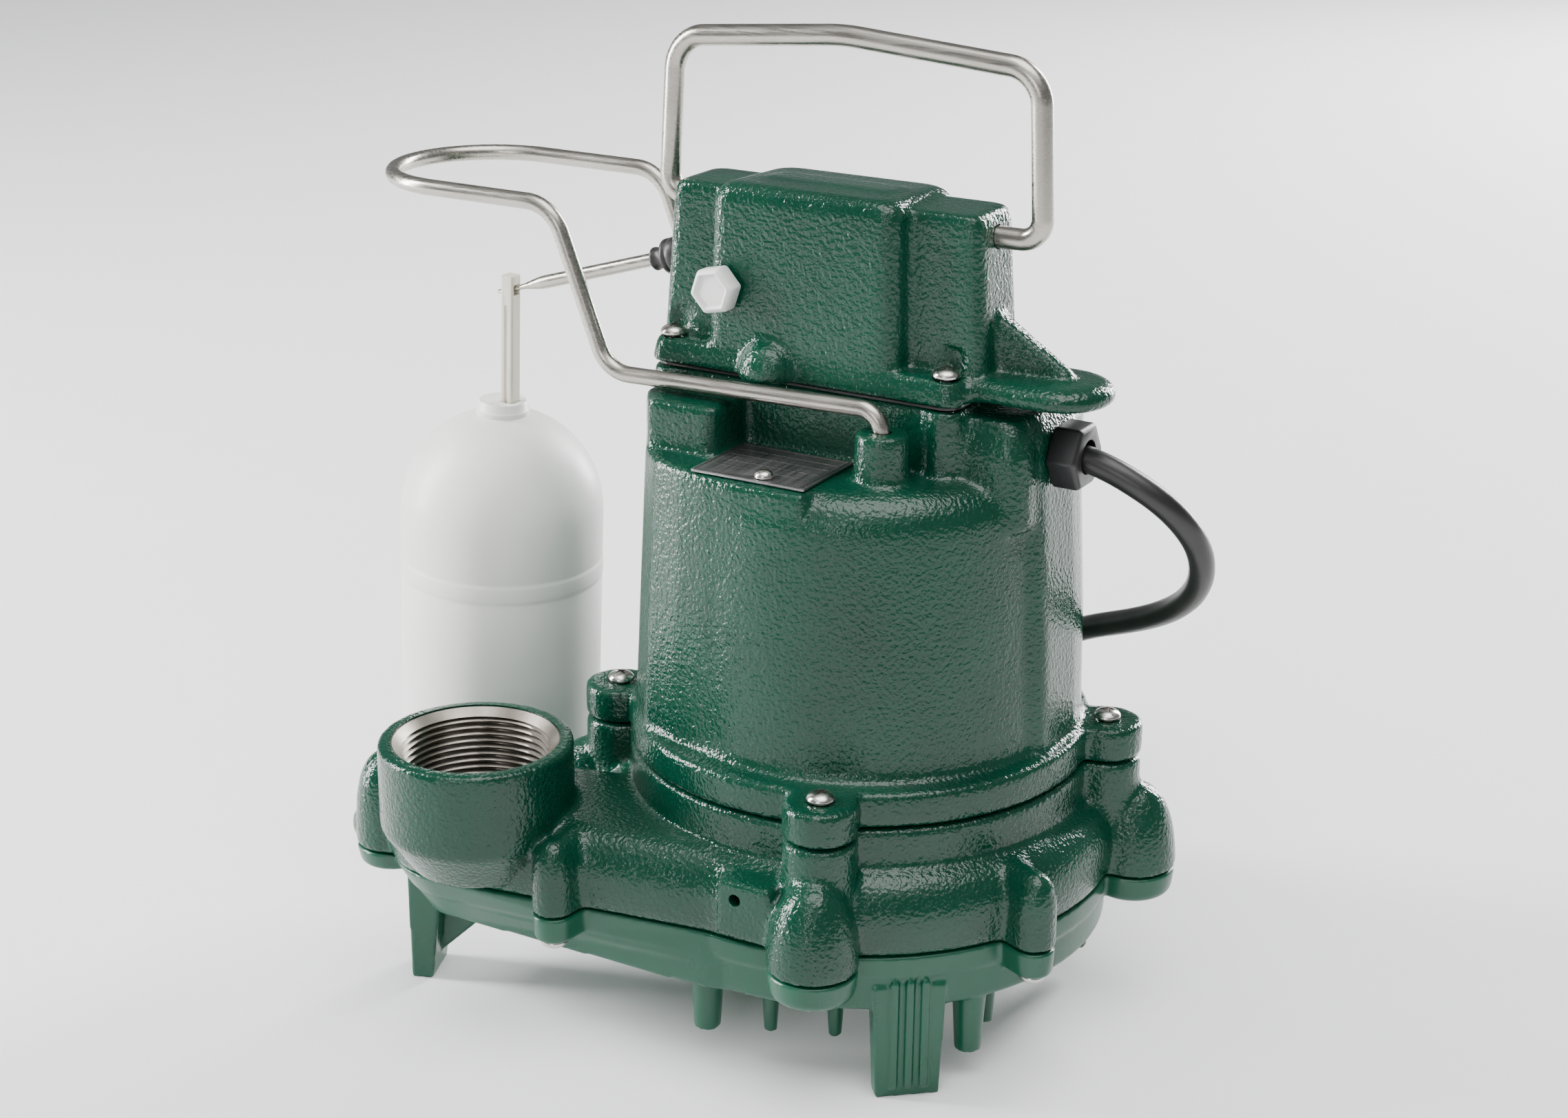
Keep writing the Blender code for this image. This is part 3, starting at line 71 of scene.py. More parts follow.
GLAND_Y, GLAND_Z, GLAND_FACE_X, GLAND_END_X = 1.0, 183.6, 62.2, 71.5
CORD_R = 3.9
SCREW_HOLE_R = 2.7
QUARTER_TURN = [math.radians(11.25 * step) for step in range(1, 9)]
MOTOR_SCREWS = [polar(SCREW_CIRCLE_R, angle) for angle in SCREW_ANGLES]
CASE_SCREWS = [(CASE_X + sx * CASE_SCREW_X, CASE_Y + sy * CASE_SCREW_Y) for sx in (-1, 1) for sy in (-1, 1)]
CASE_FRONT_Y = CASE_Y - CASE_HALF_Y
CASE_PLUG_X, CASE_PLUG_Z = -35.5, 224.6
RIVET = (-5.1, -51.6)
HANDLE_X, HANDLE_Z = -5.2, 245.0           # the middle of the handle's hinge line
PLUG_TAIL_X, PLUG_FACE_X, PLUG_Y, PLUG_Z = -97.4, -138.0, 203.6, 12.3


# -------- shapes

def arc(centre, radius, start, end, steps):
    angles = [math.radians(start + (end - start) * i / steps) for i in range(steps + 1)]
    return [(centre[0] + radius * math.cos(a), centre[1] + radius * math.sin(a)) for a in angles]


def circle(centre, radius, sides):
    return arc(centre, radius, 0.0, 360.0 * (sides - 1) / sides, sides - 1)


def rounded_rectangle(centre, half_x, half_y, radius, steps=8):
    points = []
    for number, (sx, sy) in enumerate(((1, 1), (-1, 1), (-1, -1), (1, -1))):
        corner = (centre[0] + sx * (half_x - radius), centre[1] + sy * (half_y - radius))
        points += arc(corner, radius, 90.0 * number, 90.0 * number + 90.0, steps)
    return points


def placed(name, data):
    """New object in the scene that shows the given data."""
    made = bpy.data.objects.new(name, data)
    bpy.context.scene.collection.objects.link(made)
    return made


def hexagon(radius, corner, start):
    """Plan of a hexagon with rounded corners, centred at a radius and the first at a start angle."""
    points = []
    for angle in range(0, 360, 60):
        points += arc(polar(radius, angle + start), corner, angle + start - 30.0, angle + start + 30.0, 5)
    return points


def linked(mesh_maker, name):
    """Object named name whose mesh the filled bmesh makes, with its faces turned outwards."""
    bmesh.ops.recalc_face_normals(mesh_maker, faces=mesh_maker.faces)
    mesh = bpy.data.meshes.new(name)
    mesh_maker.to_mesh(mesh)
    mesh_maker.free()
    return placed(name, mesh)


def smooth(made, degrees=50.0):
    """Shades a shape smooth, with sharp edges where it turns by more than an angle in degrees."""
    made.data.shade_smooth()
    made.data.set_sharp_from_angle(angle=math.radians(degrees))
    return made


def loft(rings, name="solid"):
    """Closed solid through rings of (x, y, z) points in millimetres; a ring of one point is a tip."""
    solid = bmesh.new()
    rows = [[solid.verts.new(Vector(point) * MM + SHAFT) for point in ring] for ring in rings]
    for lower, upper in zip(rows, rows[1:]):
        count = max(len(lower), len(upper))
        for i in range(count):
            j = (i + 1) % count
            corners = [lower[i % len(lower)], lower[j % len(lower)]]
            corners += [upper[j % len(upper)], upper[i % len(upper)]]
            solid.faces.new(list(dict.fromkeys(corners)))
    for row in (rows[0], rows[-1]):
        if len(row) > 2:
            solid.faces.new(row)
    return linked(solid, name)


def prism(outline, low, high, name="solid"):
    return loft([[(x, y, low) for x, y in outline], [(x, y, high) for x, y in outline]], name)


def stacked(outline_at, levels, name="solid"):
    return loft([[(x, y, z) for x, y in outline_at(value)] for z, value in levels], name)


def tapered(*sections):
    """Block through level rectangles, each given as (low x, low y, high x, high y, height)."""
    return loft([[(x0, y0, z), (x1, y0, z), (x1, y1, z), (x0, y1, z)] for x0, y0, x1, y1, z in sections])


def box(low, high):
    return tapered((*low[:2], *high[:2], low[2]), (*low[:2], *high[:2], high[2]))


def turned(profile, sides, centre=(0.0, 0.0), name="solid"):
    rings = []
    for radius, z in profile:
        plan = circle(centre, radius, sides) if radius else [centre]
        rings.append([(x, y, z) for x, y in plan])
    return loft(rings, name)


def turned_ring(outline_at, sides, centre=(0.0, 0.0)):
    """Ring turned about a vertical axis; outline_at gives its closed outline at a share of the turn."""
    solid = bmesh.new()
    rows = []
    for step in range(sides):
        angle = math.tau * step / sides
        ring = [(centre[0] + r * math.cos(angle), centre[1] + r * math.sin(angle), z)
                for r, z in outline_at(step / sides)]
        rows.append([solid.verts.new(Vector(point) * MM + SHAFT) for point in ring])
    for here, there in zip(rows, rows[1:] + rows[:1]):
        for i in range(len(here)):
            j = (i + 1) % len(here)
            solid.faces.new((here[i], here[j], there[j], there[i]))
    return linked(solid, "ring")


def cylinder(centre, radius, low, high, sides=48):
    return turned([(radius, low), (radius, high)], sides, centre)


def transformed(made, matrix):
    """Moves a mesh by a matrix of the shaft's frame, whose translation is in millimetres."""
    scaled = matrix.copy()
    scaled.translation = matrix.translation * MM
    made.data.transform(Matrix.Translation(SHAFT) @ scaled @ Matrix.Translation(-SHAFT))
    return made


def placing(point, degrees, axis):
    """Matrix that turns a shape about an axis and then moves it to a point in millimetres."""
    return Matrix.Translation(point) @ Matrix.Rotation(math.radians(degrees), 4, axis)


def evaluated_mesh(made):
    graph = bpy.context.evaluated_depsgraph_get()
    return bpy.data.meshes.new_from_object(made.evaluated_get(graph))


def applied(made):
    """Bakes an object's modifiers into its mesh."""
    mesh = evaluated_mesh(made)
    made.modifiers.clear()
    made.data = mesh
    return made


def combine(base, tools, operation):
    for tool in tools:
        change = base.modifiers.new("combine", "BOOLEAN")
        change.operation = operation
        change.solver = "EXACT"
        change.object = tool
        applied(base)
        bpy.data.objects.remove(tool, do_unlink=True)
    return base


def fuse(base, *tools):
    return combine(base, tools, "UNION")


def cut(base, *tools):
    return combine(base, tools, "DIFFERENCE")


def tapped(body, centres, low, high):
    """Cuts a set of upright screw holes."""
    return cut(body, *[cylinder(centre, SCREW_HOLE_R, low, high, 24) for centre in centres])


def cast(made, voxel, rounds, share):
    """Softens a shape's edges and inner corners, as sand casting and thick paint leave them."""
    grid = made.modifiers.new("grid", "REMESH")
    grid.mode = "VOXEL"
    grid.voxel_size = voxel * MM
    soften = made.modifiers.new("soften", "SMOOTH")
    soften.factor = 0.5
    soften.iterations = rounds
    thin = made.modifiers.new("thin", "DECIMATE")
    thin.ratio = share
    applied(made)
    made.data.shade_smooth()
    return made


def rounded(made, width, segments=3, angle=35.0):
    """Rounds a shape's sharp edges and shades it smooth."""
    change = made.modifiers.new("round", "BEVEL")
    change.width = width * MM
    change.segments = segments
    change.limit_method = "ANGLE"
    change.angle_limit = math.radians(angle)
    return smooth(applied(made), 40.0)


def rounded_path(corners, steps):
    """Centre line through (point, bend radius) corners, each bend drawn as an arc."""
    points = [Vector(corners[0][0])]
    for before, here, after in zip(corners, corners[1:], corners[2:]):
        corner, radius = Vector(here[0]), here[1]
        inward = (Vector(before[0]) - corner).normalized()
        outward = (Vector(after[0]) - corner).normalized()
        turn = math.pi - inward.angle(outward)
        reach = radius * math.tan(turn / 2.0)
        centre = corner + (inward + outward).normalized() * (radius / math.cos(turn / 2.0))
        spoke_a, spoke_b = corner + inward * reach - centre, corner + outward * reach - centre
        for i in range(steps + 1):
            weight_a = math.sin((1.0 - i / steps) * turn) / math.sin(turn)
            weight_b = math.sin(i / steps * turn) / math.sin(turn)
            points.append(centre + spoke_a * weight_a + spoke_b * weight_b)
    points.append(Vector(corners[-1][0]))
    return points


def tube(name, kind, points, radius, resolution):
    """Curve with a round section along points of the shaft's frame, all in metres."""
    curve = bpy.data.curves.new(name, "CURVE")
    curve.dimensions = "3D"
    curve.bevel_depth = radius
    curve.bevel_resolution = resolution
    curve.use_fill_caps = True
    spline = curve.splines.new(kind)
    spline.points.add(len(points) - 1)
    for knot, point in zip(spline.points, points):
        knot.co = (*(point + SHAFT), 1.0)
    return curve


def bar(name, points, radius):
    """Round bar along points in millimetres, as a mesh with flat ends."""
    points = [Vector(point) * MM for point in points]
    path = placed(name + "_path", tube(name, "POLY", points, radius * MM, 8))
    mesh = evaluated_mesh(path)
    bpy.data.objects.remove(path, do_unlink=True)
    return smooth(placed(name, mesh))


def piece(made, name, finish, body, slot, *nodes):
    """Names a finished shape, gives it its material and puts it on its body in place of CAD nodes."""
    made.name = name
    made.data.name = name
    made.data.materials.clear()
    made.data.materials.append(finish)
    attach(made, body)
    if nodes:
        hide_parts(*nodes)
    return made


# -------- materials

def surface(name, colour, roughness, metallic=0.0):
    made = bpy.data.materials.new(name)
    made.use_nodes = True
    shader = made.node_tree.nodes["Principled BSDF"]
    shader.inputs["Base Color"].default_value = (*colour, 1.0)
    shader.inputs["Roughness"].default_value = roughness
    shader.inputs["Metallic"].default_value = metallic
    return made, made.node_tree, shader


def noise(tree, scale, **settings):
    """Noise node read in the model's own coordinates, features per metre given by scale."""
    place = tree.nodes.get("Texture Coordinate") or tree.nodes.new("ShaderNodeTexCoord")
    node = tree.nodes.new("ShaderNodeTexNoise")
    node.inputs["Scale"].default_value = scale
    for socket, value in settings.items():
        node.inputs[socket].default_value = value
    tree.links.new(place.outputs["Object"], node.inputs["Vector"])
    return node


def stretched(tree, node, scales):
    """Puts a mapping before a texture, so that its pattern is drawn out along one axis."""
    place = tree.nodes["Texture Coordinate"]
    mapping = tree.nodes.new("ShaderNodeMapping")
    mapping.inputs["Scale"].default_value = scales
    tree.links.new(place.outputs["Object"], mapping.inputs["Vector"])
    tree.links.new(mapping.outputs["Vector"], node.inputs["Vector"])
    return node


def bump(tree, shader, heights, strength, distance):
    """Chains bump nodes for a list of noise nodes and their shares, coarse first."""
    last = None
    for source, share in heights:
        node = tree.nodes.new("ShaderNodeBump")
        node.inputs["Strength"].default_value = strength * share
        node.inputs["Distance"].default_value = distance
        tree.links.new(source.outputs["Fac"], node.inputs["Height"])
        if last:
            tree.links.new(last.outputs["Normal"], node.inputs["Normal"])
        last = node
    tree.links.new(last.outputs["Normal"], shader.inputs["Normal"])


def varied(tree, shader, socket, source, stops):
    """Varies a shader's socket with a noise node, between the colours or greys at two stops."""
    node = tree.nodes.new("ShaderNodeValToRGB")
    elements = node.color_ramp.elements
    for element, (position, value) in zip(elements, stops):
        element.position = position
        element.color = (*value, 1.0) if isinstance(value, tuple) else (value, value, value, 1.0)
    tree.links.new(source.outputs["Fac"], node.inputs["Fac"])
    tree.links.new(node.outputs["Color"], shader.inputs[socket])


def painted_casting(name, grain):
    """Thick glossy enamel over sand-cast iron: pebbled, a little uneven in tone and gloss."""
    made, tree, shader = surface(name, (0.0005, 0.040, 0.021), 0.18)
    broad = noise(tree, 28.0, Detail=3.0)
    pebbles = noise(tree, grain, Detail=1.5, Roughness=0.5)
    ripples = noise(tree, grain * 0.3, Detail=2.0)
    varied(tree, shader, "Base Color", broad, ((0.3, (0.0003, 0.032, 0.017)), (0.7, (0.0006, 0.045, 0.024))))
    varied(tree, shader, "Roughness", broad, ((0.25, 0.12), (0.75, 0.20)))
    bump(tree, shader, ((ripples, 0.2), (pebbles, 1.0)), 0.68, 0.0006)
    shader.inputs["Specular IOR Level"].default_value = 0.42
    return made


def moulded_plastic(name, colour, roughness, grain=900.0, strength=0.12):
    """Moulded plastic with a fine surface grain and slightly uneven gloss."""
    made, tree, shader = surface(name, colour, roughness)
    fine = noise(tree, grain, Detail=2.0)
    broad = noise(tree, 45.0, Detail=3.0)
    darker = tuple(channel * 0.86 for channel in colour)
    varied(tree, shader, "Base Color", broad, ((0.3, darker), (0.7, colour)))
    low, high = roughness - 0.05, roughness + 0.06
    varied(tree, shader, "Roughness", broad, ((0.3, low), (0.7, high)))
    bump(tree, shader, ((fine, 1.0),), strength, 0.0002)
    return made


def drawn_steel(name, colour=(0.44, 0.415, 0.37), roughness=0.27, scales=(60.0, 1400.0, 1400.0)):
    """Bright steel with the fine lines that drawing or brushing leaves."""
    made, tree, shader = surface(name, colour, roughness, 1.0)
    lines = stretched(tree, noise(tree, 1.0, Detail=3.0), scales)
    broad = noise(tree, 60.0, Detail=3.0)
    varied(tree, shader, "Roughness", lines, ((0.3, roughness - 0.06), (0.75, roughness + 0.10)))
    darker = tuple(channel * 0.85 for channel in colour)
    varied(tree, shader, "Base Color", broad, ((0.3, darker), (0.7, colour)))
    bump(tree, shader, ((lines, 1.0),), 0.08, 0.0001)
    return made


def black_rubber(name, roughness=0.42):
    made, tree, shader = surface(name, (0.012, 0.012, 0.012), roughness)
    fine = noise(tree, 1100.0, Detail=2.0)
    broad = noise(tree, 90.0, Detail=3.0)
    varied(tree, shader, "Base Color", broad, ((0.3, (0.009, 0.009, 0.0092)), (0.8, (0.022, 0.021, 0.020))))
    bump(tree, shader, ((fine, 1.0),), 0.15, 0.0002)
    return made


def float_plastic(name):
    """Natural polyethylene: white, waxy, letting a little light in, with faint handling marks."""
    made, tree, shader = surface(name, (0.80, 0.81, 0.78), 0.42)
    broad = noise(tree, 22.0, Detail=4.0)
    marks = stretched(tree, noise(tree, 1.0, Detail=5.0), (35.0, 35.0, 160.0))
    varied(tree, shader, "Base Color", broad, ((0.25, (0.72, 0.735, 0.70)), (0.75, (0.83, 0.84, 0.81))))
    varied(tree, shader, "Roughness", marks, ((0.35, 0.36), (0.7, 0.50)))
    bump(tree, shader, ((marks, 1.0),), 0.06, 0.0004)
    shader.inputs["Subsurface Weight"].default_value = 0.25
    shader.inputs["Subsurface Radius"].default_value = (0.006, 0.006, 0.005)
    return made


def cut_iron(name):
    """Bare machined iron of the pipe thread."""
    made, tree, shader = surface(name, (0.26, 0.24, 0.21), 0.36, 1.0)
    broad = noise(tree, 120.0, Detail=4.0)
    varied(tree, shader, "Base Color", broad, ((0.3, (0.17, 0.155, 0.13)), (0.75, (0.32, 0.295, 0.26))))
    fine = noise(tree, 1500.0, Detail=2.0)
    bump(tree, shader, ((fine, 1.0),), 0.10, 0.0002)
    return made


CASTING = painted_casting("green_enamel_on_casting", 820.0)
MOULDED_GREEN = moulded_plastic("green_moulded_plastic", (0.0005, 0.070, 0.035), 0.30)
STEEL_WIRE = drawn_steel("drawn_stainless_wire")
STEEL_HEAD = drawn_steel("stainless_fastener", (0.60, 0.58, 0.54), 0.20, (900.0, 900.0, 900.0))
RUBBER = black_rubber("black_rubber")
CORD_JACKET = black_rubber("cord_jacket", 0.34)
BLACK_PLASTIC = moulded_plastic("black_moulded_plastic", (0.014, 0.014, 0.015), 0.40)
WHITE_PLASTIC = moulded_plastic("white_moulded_plastic", (0.78, 0.80, 0.77), 0.32)
FLOAT_PLASTIC = float_plastic("float_polyethylene")
ROD_PLASTIC = moulded_plastic("rod_natural_plastic", (0.70, 0.66, 0.55), 0.36)
THREAD_IRON = cut_iron("machined_iron")
PLATE_DARK = drawn_steel("anodised_plate", (0.34, 0.33, 0.34), 0.38, (1500.0, 40.0, 40.0))
BRASS = drawn_steel("brass", (0.62, 0.44, 0.17), 0.26, (700.0, 700.0, 700.0))
BRONZE = drawn_steel("sintered_bronze", (0.40, 0.24, 0.11), 0.40, (900.0, 900.0, 900.0))
COPPER = drawn_steel("enamelled_copper", (0.60, 0.25, 0.10), 0.30, (300.0, 300.0, 2200.0))
LAMINATIONS = drawn_steel("core_laminations", (0.22, 0.22, 0.23), 0.42, (40.0, 40.0, 2000.0))
CERAMIC = moulded_plastic("seal_ceramic", (0.72, 0.70, 0.64), 0.25)


# -------- camera

def camera():
    """The viewing angle: 29.7 degrees round to the right of the front, and 19.9 degrees above it."""
    around, above, roll = math.radians(29.7), math.radians(19.9), math.radians(0.6)
    distance, focal_pixels, width_pixels = 800.1, 3827.0, 2277.0
    back = Vector((math.sin(around) * math.cos(above), -math.cos(around) * math.cos(above), math.sin(above)))
    right = Vector((math.cos(around), math.sin(around), 0.0))
    up = back.cross(right)
    place = (right * -24.1 + Vector((0.0, 0.0, 139.2)) + back * distance) * MM + SHAFT
    tilted_right = right * math.cos(roll) + up * math.sin(roll)
    tilted_up = up * math.cos(roll) - right * math.sin(roll)
    lens = bpy.data.cameras.new("camera")
    lens.sensor_width = 36.0
    lens.lens = focal_pixels / width_pixels * lens.sensor_width
    lens.clip_start = 0.01
    made = placed("camera", lens)
    turn = Matrix((tilted_right, tilted_up, back)).transposed().to_4x4()
    turn.translation = place
    made.matrix_world = turn
    bpy.context.scene.camera = made


camera()


# -------- cord

# The free route, the same as in the CAD model, in metres from the shaft's axis and the floor
CORD_ROUTE = ((0.0689, 0.0010, 0.1834), (0.0765, 0.0010, 0.1819), (0.0850, 0.0016, 0.1784),
              (0.0957, 0.0050, 0.1714), (0.1019, 0.0140, 0.1590), (0.1004, 0.0240, 0.1450),
              (0.0909, 0.0345, 0.1308), (0.0715, 0.0455, 0.1186), (0.0511, 0.0560, 0.1096),
              (0.0320, 0.0665, 0.0970), (0.0170, 0.0800, 0.0795), (0.0060, 0.0960, 0.0595),
              (-0.0025, 0.1130, 0.0420), (-0.0086, 0.1290, 0.0304), (-0.0116, 0.1410, 0.0248))
COIL_CENTRE = (-0.0660, 0.1500)
COIL_R = 0.0458
LAYER = 2.0 * CORD_R * MM                  # from one turn to the next
COIL_LOW_Z = CORD_R * MM + 0.0002          # the lowest turns' centre line
# Each turn's place in the bundle, from the first to the last: steps outwards and layers up
TURN_PLACES = ((1, 2), (0, 2), (-1, 2), (-1, 1), (-1, 0), (0, 0), (0, 1), (1, 1), (1, 0))


def coil_points():
    """Points of the coiled length, 24 to a turn, each turn easing over to the next one's place."""
    turns = 8.0 + 90.0 / 360.0
    per_turn = 24
    points = []
    for step in range(1, int(turns * per_turn) + 1):
        done = step / per_turn
        number = int(done)
        here = TURN_PLACES[min(number, len(TURN_PLACES) - 1)]
        after = TURN_PLACES[min(number + 1, len(TURN_PLACES) - 1)]
        ease = max(0.0, (done - number - 0.72) / 0.28)
        ease = ease * ease * (3.0 - 2.0 * ease)
        out = here[0] + (after[0] - here[0]) * ease
        layer = here[1] + (after[1] - here[1]) * ease
        radius = COIL_R + out * LAYER
        angle = math.tau * done
        points.append((COIL_CENTRE[0] + radius * math.cos(angle), COIL_CENTRE[1] + radius * math.sin(angle),
                       COIL_LOW_Z + layer * LAYER))
    return points


def power_cord():
    """Cord as one curve: the free route, the coil, and the short run into the plug."""
    entry = [(COIL_CENTRE[0] + COIL_R + LAYER, COIL_CENTRE[1], COIL_LOW_Z + 2.0 * LAYER)]
    coil = coil_points()
    end_x, end_y, end_z = coil[-1]
    run = (PLUG_TAIL_X - 10.0) * MM - end_x
    tail = [(end_x + run * share, end_y, end_z + (PLUG_Z * MM - end_z) * share * share * (3.0 - 2.0 * share))
            for share in (0.25, 0.5, 0.75, 1.0)]
    points = list(CORD_ROUTE) + entry + coil + tail
    curve = tube("power_cord", "NURBS", [Vector(point) for point in points], CORD_R * MM, 6)
    curve.splines[0].resolution_u = curve.resolution_u = 6
    curve.splines[0].order_u = 4
    curve.splines[0].use_endpoint_u = True
    made = placed("power_cord_whole", curve)
    curve.materials.append(CORD_JACKET)
    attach(made, "pump")
    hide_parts("power_cord", "cord_coil")
    return made


cord = power_cord()

# -------- pump housing and base

# Rounded side of the volute: height, and how far its outline stands in from the full one
VOLUTE_SIDE = ((46.3, -1.8), (48.6, -0.9), (52.0, -0.3), (55.0, 0.0), (58.0, 0.0), (61.0, -0.6), (64.0, -1.8),
               (66.2, -3.2), (68.0, -5.0), (69.4, -7.0), (VOLUTE_Z, -10.0))
# Small bosses: centre, and the direction in to the wall
SMALL_BOSSES = [(polar(BOSS_CIRCLE_R, angle), polar(-1.0, angle)) for angle in (-25.2, 64.8)]
SMALL_BOSSES.append(((-53.5, -90.5), (0.1, 0.995)))
BASE_SCREWS = ([(polar(BOSS_CIRCLE_R, angle), FLANGE_Z) for angle in SCREW_ANGLES]
               + [(centre, FLANGE_Z) for centre, _ in SMALL_BOSSES] + [(OUTLET_BOSS, OUTLET_BOSS_SEAT_Z)])


def volute_outline(offset):
    return circle((0.0, 0.0), VOLUTE_R + offset, 120)


def outlet_outline(offset, inner_offset=None):
    """Plan of the outlet passage: a round end joined to a wider round by its tangents."""
    inner, inner_r = (-12.0, -50.0), 31.0 + (offset if inner_offset is None else inner_offset)
    outer, outer_r = (-100.0, -70.0), 24.6 + offset
    along = math.degrees(math.atan2(outer[1] - inner[1], outer[0] - inner[0]))
    distance = math.hypot(outer[0] - inner[0], outer[1] - inner[1])
    spread = math.degrees(math.acos((inner_r - outer_r) / distance))
    end = arc(outer, outer_r, along - spread, along + spread, 32)
    return end + arc(inner, inner_r, along + spread, along + 360.0 - spread, 32)


def boss_outline(centre, inward, radius, reach=12.0):
    """Plan of a boss whose parallel sides run back into the wall."""
    back = math.degrees(math.atan2(inward[1], inward[0]))
    root = (centre[0] + inward[0] * reach, centre[1] + inward[1] * reach)
    return arc(centre, radius, back + 90.0, back + 270.0, 20) + arc(root, radius, back - 90.0, back + 90.0, 8)


def pump_housing():
    """Volute with its outlet passage, discharge neck and screw bosses, cast in one and painted."""
    top = SEAM_Z - 0.15
    body = fuse(stacked(volute_outline, VOLUTE_SIDE), stacked(outlet_outline, VOLUTE_SIDE))
    body = fuse(body, cylinder((0.0, 0.0), RING_R, 60.0, top, 120))
    neck = turned([(20.0, 50.0), (DISCHARGE_R, 64.0), (DISCHARGE_R, DISCHARGE_RIM_Z)], 80, DISCHARGE)
    body = fuse(body, neck)
    for angle in SCREW_ANGLES:
        big = turned([(13.6, 46.3), (13.2, 52.0), (12.4, 58.0), (11.2, 62.5), (9.6, 66.5), (7.4, 69.8),
                      (5.0, 71.8), (2.5, 72.8), (0.0, 73.1)], 48, polar(BOSS_CIRCLE_R, angle))
        body = fuse(body, big, cylinder(polar(SCREW_CIRCLE_R, angle), 10.9, 62.0, top))
    for centre, inward in SMALL_BOSSES:
        levels = ((46.3, 6.6), (60.0, 6.5), (63.0, 6.1), (66.0, 5.2), (68.2, 3.6), (69.4, 1.8))
        body = fuse(body, stacked(lambda radius: boss_outline(centre, inward, radius), levels))
    outlet_boss = turned([(11.9, 46.3), (11.6, 55.0), (11.2, 62.0), (9.8, 69.0), (7.6, 73.4), (4.4, 76.4),
                          (0.0, 77.4)], 48, OUTLET_BOSS)
    nub = turned([(2.5, 48.0), (2.4, 52.5), (1.4, 55.0), (0.0, 56.0)], 24, (-134.9, -79.4))
    vent_pad = box((VENT[0] - 6.5, -84.6, 50.0), (VENT[0] + 11.5, -60.0, 68.0))
    body = fuse(body, outlet_boss, nub, vent_pad)
    chamber = turned([(73.5, 41.0), (73.5, 60.0), (70.0, 64.0)], 64)
    body = cut(body, fuse(chamber, prism(outlet_outline(-7.0), 41.0, 60.0)))
    body = cut(body, cylinder((0.0, 0.0), 57.0, 74.0, SEAM_Z + 5.0, 64))
    body = fuse(body, cylinder((0.0, 0.0), 17.0, 70.0, 100.0))
    seats = turned([(13.2, 60.0), (13.2, 77.0), (7.6, 77.0), (7.6, 80.5), (11.4, 80.5), (11.4, 104.0)], 48)
    body = cut(body, seats)
    body = tapped(body, [centre for centre, _ in BASE_SCREWS], 43.0, 58.0)
    body = tapped(body, MOTOR_SCREWS, 71.0, SEAM_Z + 3.0)
    body = cast(body, 0.95, 16, 0.34)
    bore = turned([(19.0, 56.0), (25.5, 62.0), (25.5, DISCHARGE_RIM_Z + 2.0)], 96, DISCHARGE)
    vent = transformed(cylinder((0.0, 0.0), 1.9, -8.0, 16.0, 32),
                       placing((VENT[0], -84.0, VENT[1]), -90.0, "X"))
    body = cut(body, bore, vent)
    piece(smooth(body), "pump_housing_casting", CASTING, "pump", "cast_green", "pump_housing")


def discharge_thread():
    """Bare machined mouth of the discharge: a chamfer, and the 11-1/2 per inch pipe thread below it."""
    pitch, depth, low, high = 2.209, 1.3, 61.8, DISCHARGE_RIM_Z - 2.9
    steps = int((high - low) / pitch * 8.0)

    def outline(share):
        points = [(25.45, DISCHARGE_RIM_Z - 0.5), (25.45, low)]
        for step in range(steps + 1):
            z = low + (high - low) * step / steps
            rise = abs(2.0 * ((z / pitch + share) % 1.0) - 1.0)
            points.append((22.2 + depth * max(0.0, min(1.0, rise * 1.3 - 0.15)), z))
        return points + [(22.4, high + 0.2), (25.0, DISCHARGE_RIM_Z - 0.45)]

    ring = smooth(turned_ring(outline, 96, DISCHARGE), 35.0)
    piece(ring, "discharge_thread", THREAD_IRON, "pump", "cast_green", "pump_housing")


def leg(angle):
    """A ribbed plate across the radius, a little narrower at its sole."""
    outer, back = 78.8, 70.8
    plate = tapered((back + 2.0, -9.6, outer, 9.6, 0.0), (back, -11.0, outer, 11.0, 36.0))
    for offset in (-4.6, 0.0, 4.6):
        plate = fuse(plate, box((outer - 1.0, offset - 1.15, 3.0), (outer + 1.3, offset + 1.15, 38.0)))
    return transformed(plate, placing((0.0, 0.0, 0.0), angle, "Z"))


def outlet_leg():
    """Leg under the outlet's end, with a sloping web back to the pan."""
    plate = tapered((0.0, 0.0, 7.0, 16.0, 0.0), (0.0, -1.0, 12.0, 18.0, 44.0))
    web = tapered((3.0, 8.0, 8.0, 12.0, 6.0), (3.0, 8.0, 36.0, 12.0, 32.0))
    return transformed(fuse(plate, web), placing((-118.0, -78.0, 0.0), 20.0, "Z"))


